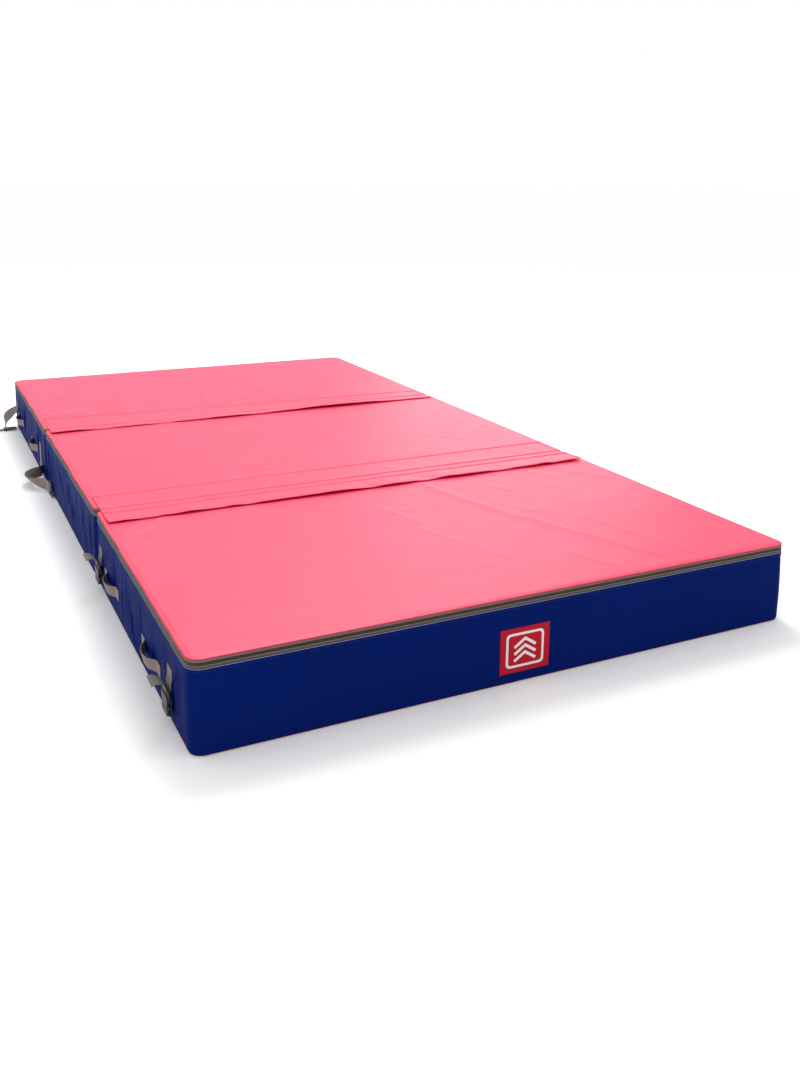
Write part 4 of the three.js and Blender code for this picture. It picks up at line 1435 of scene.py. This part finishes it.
def plate(outer, holes, thickness, bevel, lift=0.0):
    """A flat moulded plate with rounded edges, from outlines in millimetres."""
    data = bpy.data.curves.new("plate", "CURVE")
    data.dimensions = "2D"
    data.fill_mode = "BOTH"
    data.extrude = thickness / 2 - bevel
    data.bevel_depth = bevel
    data.bevel_resolution = 2
    data.offset = -bevel
    for loop in [outer, *holes]:
        spline = data.splines.new("POLY")
        spline.points.add(len(loop) - 1)
        for point, (x, y) in zip(spline.points, loop):
            point.co = (x, y, 0, 1)
        spline.use_cyclic_u = True
    curve = bpy.data.objects.new("plate", data)
    bpy.context.scene.collection.objects.link(curve)
    bpy.context.view_layer.update()
    evaluated = curve.evaluated_get(bpy.context.evaluated_depsgraph_get())
    mesh = bpy.data.meshes.new_from_object(evaluated)
    bpy.data.objects.remove(curve)
    bm = bmesh.new()
    bm.from_mesh(mesh)
    bmesh.ops.remove_doubles(bm, verts=bm.verts, dist=0.002)
    bmesh.ops.recalc_face_normals(bm, faces=bm.faces)
    bm.to_mesh(mesh)
    bm.free()
    mesh.transform(Matrix.Translation((0, 0, lift)))
    mesh.transform(Matrix.Scale(MM, 4))
    obj = bpy.data.objects.new("plate", mesh)
    bpy.context.scene.collection.objects.link(obj)
    return obj


def moulded_piece(name, plates, basis, place, material, body, slot_name, node):
    """Joins plates, then turns and moves them: basis gives where their x, y and z point."""
    turn = Matrix(basis).transposed().to_4x4()
    for part in plates:
        part.matrix_world = Matrix.Translation(place) @ turn
    bpy.context.view_layer.update()
    piece = combine(name, plates, material)
    piece.data.set_sharp_from_angle(angle=math.radians(35))
    mounted(piece, body, slot_name, node)


def rect(left, right, bottom, top, radius=1.0):
    return rounded([(left, bottom), (right, bottom), (right, top), (left, top)], radius)


# Half the length of a buckle's webbing slot, in millimetres.
SLOT = 19.6


def socket_plates():
    """Frame, two waisted covers, the block between them, and ribs. x is across and y is up."""
    half = BUCKLE_WIDTH / MM / 2
    waist = [
        (-half + 4, 26), (half - 4, 26), (half, 31), (half, 39), (half - 3.5, 43), (half - 3.5, 50),
        (half, 54), (half, 62), (half - 5, 67), (-half + 5, 67), (-half, 62), (-half, 54),
        (-half + 3.5, 50), (-half + 3.5, 43), (-half, 39), (-half, 31),
    ]
    cover = rounded(waist, 4.0, 4)
    plates = [plate(rect(-half, half, 58, 80.3, 4), [rect(-SLOT, SLOT, 67.6, 75.7, 1.5)], 5.0, 0.9)]
    for lift in (-4.0, 4.0):
        plates.append(plate(cover, [], 3.0, 1.0, lift))
    plates.append(plate(rect(-half + 0.4, half - 0.4, 56, 66.4, 2), [], 5.6, 0.5))
    for side in (-1, 1):
        inner, outer = sorted((side * SLOT, side * (half - 0.4)))
        plates.append(plate(rect(inner, outer, 27, 39.5, 1.2), [], 5.6, 0.5))
        plates.append(plate(rect(inner, outer, 53.5, 60, 1.2), [], 5.6, 0.5))
    for level in (33.5, 37.5, 41.5):
        plates.append(plate(rect(-11, 11, level, level + 1.6, 0.7), [], 1.6, 0.5, 5.2))
    return plates


def plug_plates():
    """The plug lies in its own plane: x runs from the bar to the prongs, and y along the bar."""
    half = BUCKLE_WIDTH / MM / 2
    side = [
        (15, half), (25, half - 2.6), (33, half - 2.2), (44, half - 8), (50, half - 13),
        (47, 9.5), (42, 9.0), (34, 14.5), (19, 15.5), (17, 11), (17, 5), (41, 3.4),
    ]
    radii = [2, 4, 5, 6, 2.2, 2, 4, 6, 3, 3, 1.5, 1.6]
    mirrored = [(x, -y) for x, y in side[::-1]]
    outline_points = rounded(
        [(-2.8, -half), (-2.8, half), *side, *mirrored], [2, 2, *radii, *radii[::-1]], 4
    )[::-1]
    window = rect(2.8, 9.4, -SLOT, SLOT, 1.2)
    plates = [plate(outline_points, [window], 4.6, 0.9)]
    plates.append(plate(rect(11, 15.5, -half + 3, half - 3, 1.6), [], 5.6, 0.8))
    return plates


def make_sockets_and_plugs():
    """A socket on each near strap, and a plug on each far strap."""
    for side_name, side in SIDES.items():
        out = (side, 0, 0)
        for end in ENDS:
            name = f"near_{side_name}_{end}"
            place = (side * (HALF_WIDTH + SOCKET_BAR[0]), strap_place("near", side_name, end), 0)
            moulded_piece(
                f"{name}_socket_half", socket_plates(), ((0, side, 0), (0, 0, 1), out), place,
                black_plastic, f"{name}_strap_end", "black_plastic", f"{name}_buckle_socket",
            )
        low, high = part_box(f"far_{side_name}_front_buckle_plug")
        place = ((low.x + high.x) / 2, high.y - PLUG_BACK, (low.z + high.z) / 2)
        moulded_piece(
            f"far_{side_name}_front_plug_half", plug_plates(), ((0, -1, 0), (0, 0, 1), (-1, 0, 0)), place,
            black_plastic, f"far_{side_name}_front_strap_end", "black_plastic",
            f"far_{side_name}_front_buckle_plug",
        )
        low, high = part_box(f"far_{side_name}_rear_buckle_plug")
        outer = low.x if side < 0 else high.x
        place = (outer - side * PLUG_BACK, (low.y + high.y) / 2, (low.z + high.z) / 2)
        moulded_piece(
            f"far_{side_name}_rear_plug_half", plug_plates(),
            ((-side, 0, 0), (0, -side, 0), (0, 0, 1)), place, black_plastic,
            f"far_{side_name}_rear_strap_end", "black_plastic",
            f"far_{side_name}_rear_buckle_plug",
        )


for side_name in SIDES:
    for end in ENDS:
        for panel in ("near", "far"):
            make_handle(panel, side_name, end)
        make_near_strap(side_name, end)
    make_far_rear_strap(side_name)
    make_far_front_strap(side_name)
make_sockets_and_plugs()

# ---------------------------------------------------------------- zip sliders and pulls


def make_zip_hardware(panel):
    """The slider: face plate, rim, post and crown. The pull: eye, tab and grip."""
    low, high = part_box(f"{panel}_zip_slider")
    middle_y, middle_z = (low.y + high.y) / 2, (low.z + high.z) / 2
    wedge = [(-10, -4.2), (-3, -4.6), (6, -6.5), (10, -5.6), (10, 5.6), (6, 6.5), (-3, 4.6), (-10, 4.2)]
    face_plate = plate(rounded(wedge, [2.4, 3, 3, 2.4, 2.4, 3, 3, 2.4], 4), [], 2.0, 0.7, 3.6)
    rim = plate(rounded([(9.0, -4), (9.0, 4), (6.4, 4), (6.4, -4)], 1.0), [], 2.6, 0.6, 3.6)
    post = plate(rounded([(2, -1.6), (8, -1.6), (8, 1.6), (2, 1.6)], 1.4), [], 3.2, 0.5, 2.2)
    basis = ((0, 1, 0), (0, 0, 1), (1, 0, 0))
    place = (HALF_WIDTH, middle_y, middle_z)
    arch = np.concatenate([
        [(4.4 * MM, -6.4 * MM)],
        bezier((4.4 * MM, -6.4 * MM), (8.0 * MM, -6.6 * MM), (8.9 * MM, -6.2 * MM), (8.9 * MM, -3.4 * MM), 8),
        straight((8.9 * MM, -3.4 * MM), (8.9 * MM, 3.4 * MM), 6),
        bezier((8.9 * MM, 3.4 * MM), (8.9 * MM, 6.2 * MM), (8.0 * MM, 6.6 * MM), (4.4 * MM, 6.4 * MM), 8),
    ])
    line = on_wall(1, arch, lambda p: (middle_y + p[:, 1], middle_z + 0 * p[:, 0]))
    crown = ribbon("crown", line, (0, 0, 1), 3.0 * MM, 1.7 * MM, dark_metal)
    turn = Matrix(basis).transposed().to_4x4()
    for part in (face_plate, rim, post):
        part.matrix_world = Matrix.Translation(place) @ turn
    bpy.context.view_layer.update()
    slider = combine(f"{panel}_zip_slider_body", [face_plate, rim, post, crown], dark_metal)
    slider.data.set_sharp_from_angle(angle=math.radians(40))
    mounted(slider, f"{panel}_zip_slider", "zinc", f"{panel}_zip_slider")

    low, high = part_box(f"{panel}_zip_pull")
    eye_u = high.x - HALF_WIDTH - 3.1 * MM
    eye = np.concatenate([
        arc((eye_u, middle_z), 2.5 * MM, 262, -80, 26),
        [(eye_u + 0.6 * MM, middle_z - 3.4 * MM)],
    ])
    loop = ribbon(
        "eye", on_wall(1, eye, lambda p: (middle_y + 0 * p[:, 0], p[:, 1])), (0, 1, 0),
        5.6 * MM, 1.2 * MM, dark_metal,
    )
    tab_outline = rounded(
        [(-2.9, -2.2), (-2.9, -9), (-4.5, -14), (-4.5, -38), (4.5, -38), (4.5, -14), (2.9, -9), (2.9, -2.2)],
        [0.8, 4, 4, 3.6, 3.6, 4, 4, 0.8], 5,
    )
    tab = plate(tab_outline, [rect(-2.3, 2.3, -34.5, -27.5, 2.2)], 1.5, 0.5)
    grip = plate(rect(-2.6, 2.6, -24.5, -13.5, 2.0), [], 2.1, 0.4)
    for part in (tab, grip):
        part.matrix_world = Matrix.Translation((HALF_WIDTH + eye_u, middle_y, middle_z)) @ turn
    bpy.context.view_layer.update()
    pull = combine(f"{panel}_zip_pull_tab", [loop, tab, grip], dark_metal)
    pull.data.set_sharp_from_angle(angle=math.radians(40))
    mounted(pull, f"{panel}_zip_pull", "zinc", f"{panel}_zip_pull")


for panel in PANELS:
    make_zip_hardware(panel)

# ---------------------------------------------------------------- badge


def badge_face(x, z, proud):
    """Points on the badge, which follows the front wall."""
    points = np.stack([x, np.full_like(x, plan_of("near")[1])], -1)
    normals = np.tile((0.0, -1.0), (len(x), 1))
    return np.stack([x, points[:, 1] - wall_out("near", points, normals, z) - proud, z], -1)


def badge_shape(name, corners, holes, proud, thickness):
    """A flat embroidered shape on the badge, in millimetres from the badge's centre."""
    low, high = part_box("front_badge")
    centre_x, centre_z = (low.x + high.x) / 2, (low.z + high.z) / 2
    shape = plate(corners, holes, thickness, thickness * 0.35)
    coordinates = np.array([v.co for v in shape.data.vertices])
    placed = badge_face(centre_x + coordinates[:, 0], centre_z + coordinates[:, 1], proud)
    placed[:, 1] -= coordinates[:, 2]
    faces = [tuple(face.vertices) for face in shape.data.polygons]
    bpy.data.objects.remove(shape)
    return add_mesh(name, placed, faces, badge_white)


def thick_line(points, width):
    """A mitred outline round an open line."""
    points = np.asarray(points, float)
    along = unit(np.diff(points, axis=0))
    side = np.stack([-along[:, 1], along[:, 0]], -1)
    joint = [side[0]]
    for a, b in zip(side[:-1], side[1:]):
        middle = unit(a + b)
        joint.append(middle / (middle @ a))
    joint = np.array([*joint, side[-1]]) * width / 2
    return np.concatenate([points + joint, (points - joint)[::-1]])


def make_badge():
    """A red patch with a stitched edge, and a plain frame and chevrons in white satin stitch."""
    low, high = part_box("front_badge")
    inset = 0.3 * MM
    columns = np.concatenate([[0, 0.6, 1.6], np.linspace(4, 122, 30), [124.4, 125.4, 126]]) * MM + low.x
    rows = np.concatenate([[0, 0.6, 1.6], np.linspace(4, 100, 26), [102.4, 103.4, 104]]) * MM + low.z
    x, z = np.meshgrid(columns, rows)
    from_edge = np.minimum.reduce([x - low.x, high.x - x, z - low.z, high.z - z])
    rounded_edge = 0.6 * MM * np.clip(1 - from_edge / (1.6 * MM), 0, 1) ** 2
    border = 0.35 * MM * (1 - smooth_step(from_edge, 2.6 * MM, 3.6 * MM))
    face = badge_face(x.ravel(), z.ravel(), inset + 1.0 * MM)
    face[:, 1] += (rounded_edge - border).ravel()
    patch = add_mesh("front_badge_patch", face, grid_faces(*x.shape), badge_red)
    thicken(patch, 1.0 * MM)
    mounted(patch, "near_panel", "badge_fabric", "front_badge")
    raised = inset + 1.2 * MM
    inner = rect(-42.5, 42.5, -34.5, 34.5, 8)
    motif = [badge_shape("frame", rect(-48, 48, -40, 40, 12), [inner], raised, 0.8)]
    for k, rise in enumerate((-25, -9, 7)):
        line = [(-27, rise), (0, rise + 18), (27, rise)]
        motif.append(badge_shape(f"chevron_{k}", thick_line(line, 6.5), [], raised, 0.8))
    mounted(combine("front_badge_motif", motif, badge_white), "near_panel", "badge_fabric")
    edge = 4.6 * MM
    left, right, bottom, top = low.x + edge, high.x - edge, low.z + edge, high.z - edge
    ring = [(left, bottom), (right, bottom), (right, top), (left, top), (left, bottom)]
    lines = []
    for (x0, z0), (x1, z1) in zip(ring[:-1], ring[1:]):
        lines.append(badge_face(np.linspace(x0, x1, 30), np.linspace(z0, z1, 30), inset + 1.05 * MM))
    rows = stitches("front_badge_stitching", lines, (0, -1, 0), red_thread_and_seam_shade, 3 * MM, 2.4 * MM, 0.35 * MM)
    mounted(rows, "near_panel", "badge_fabric")


make_badge()
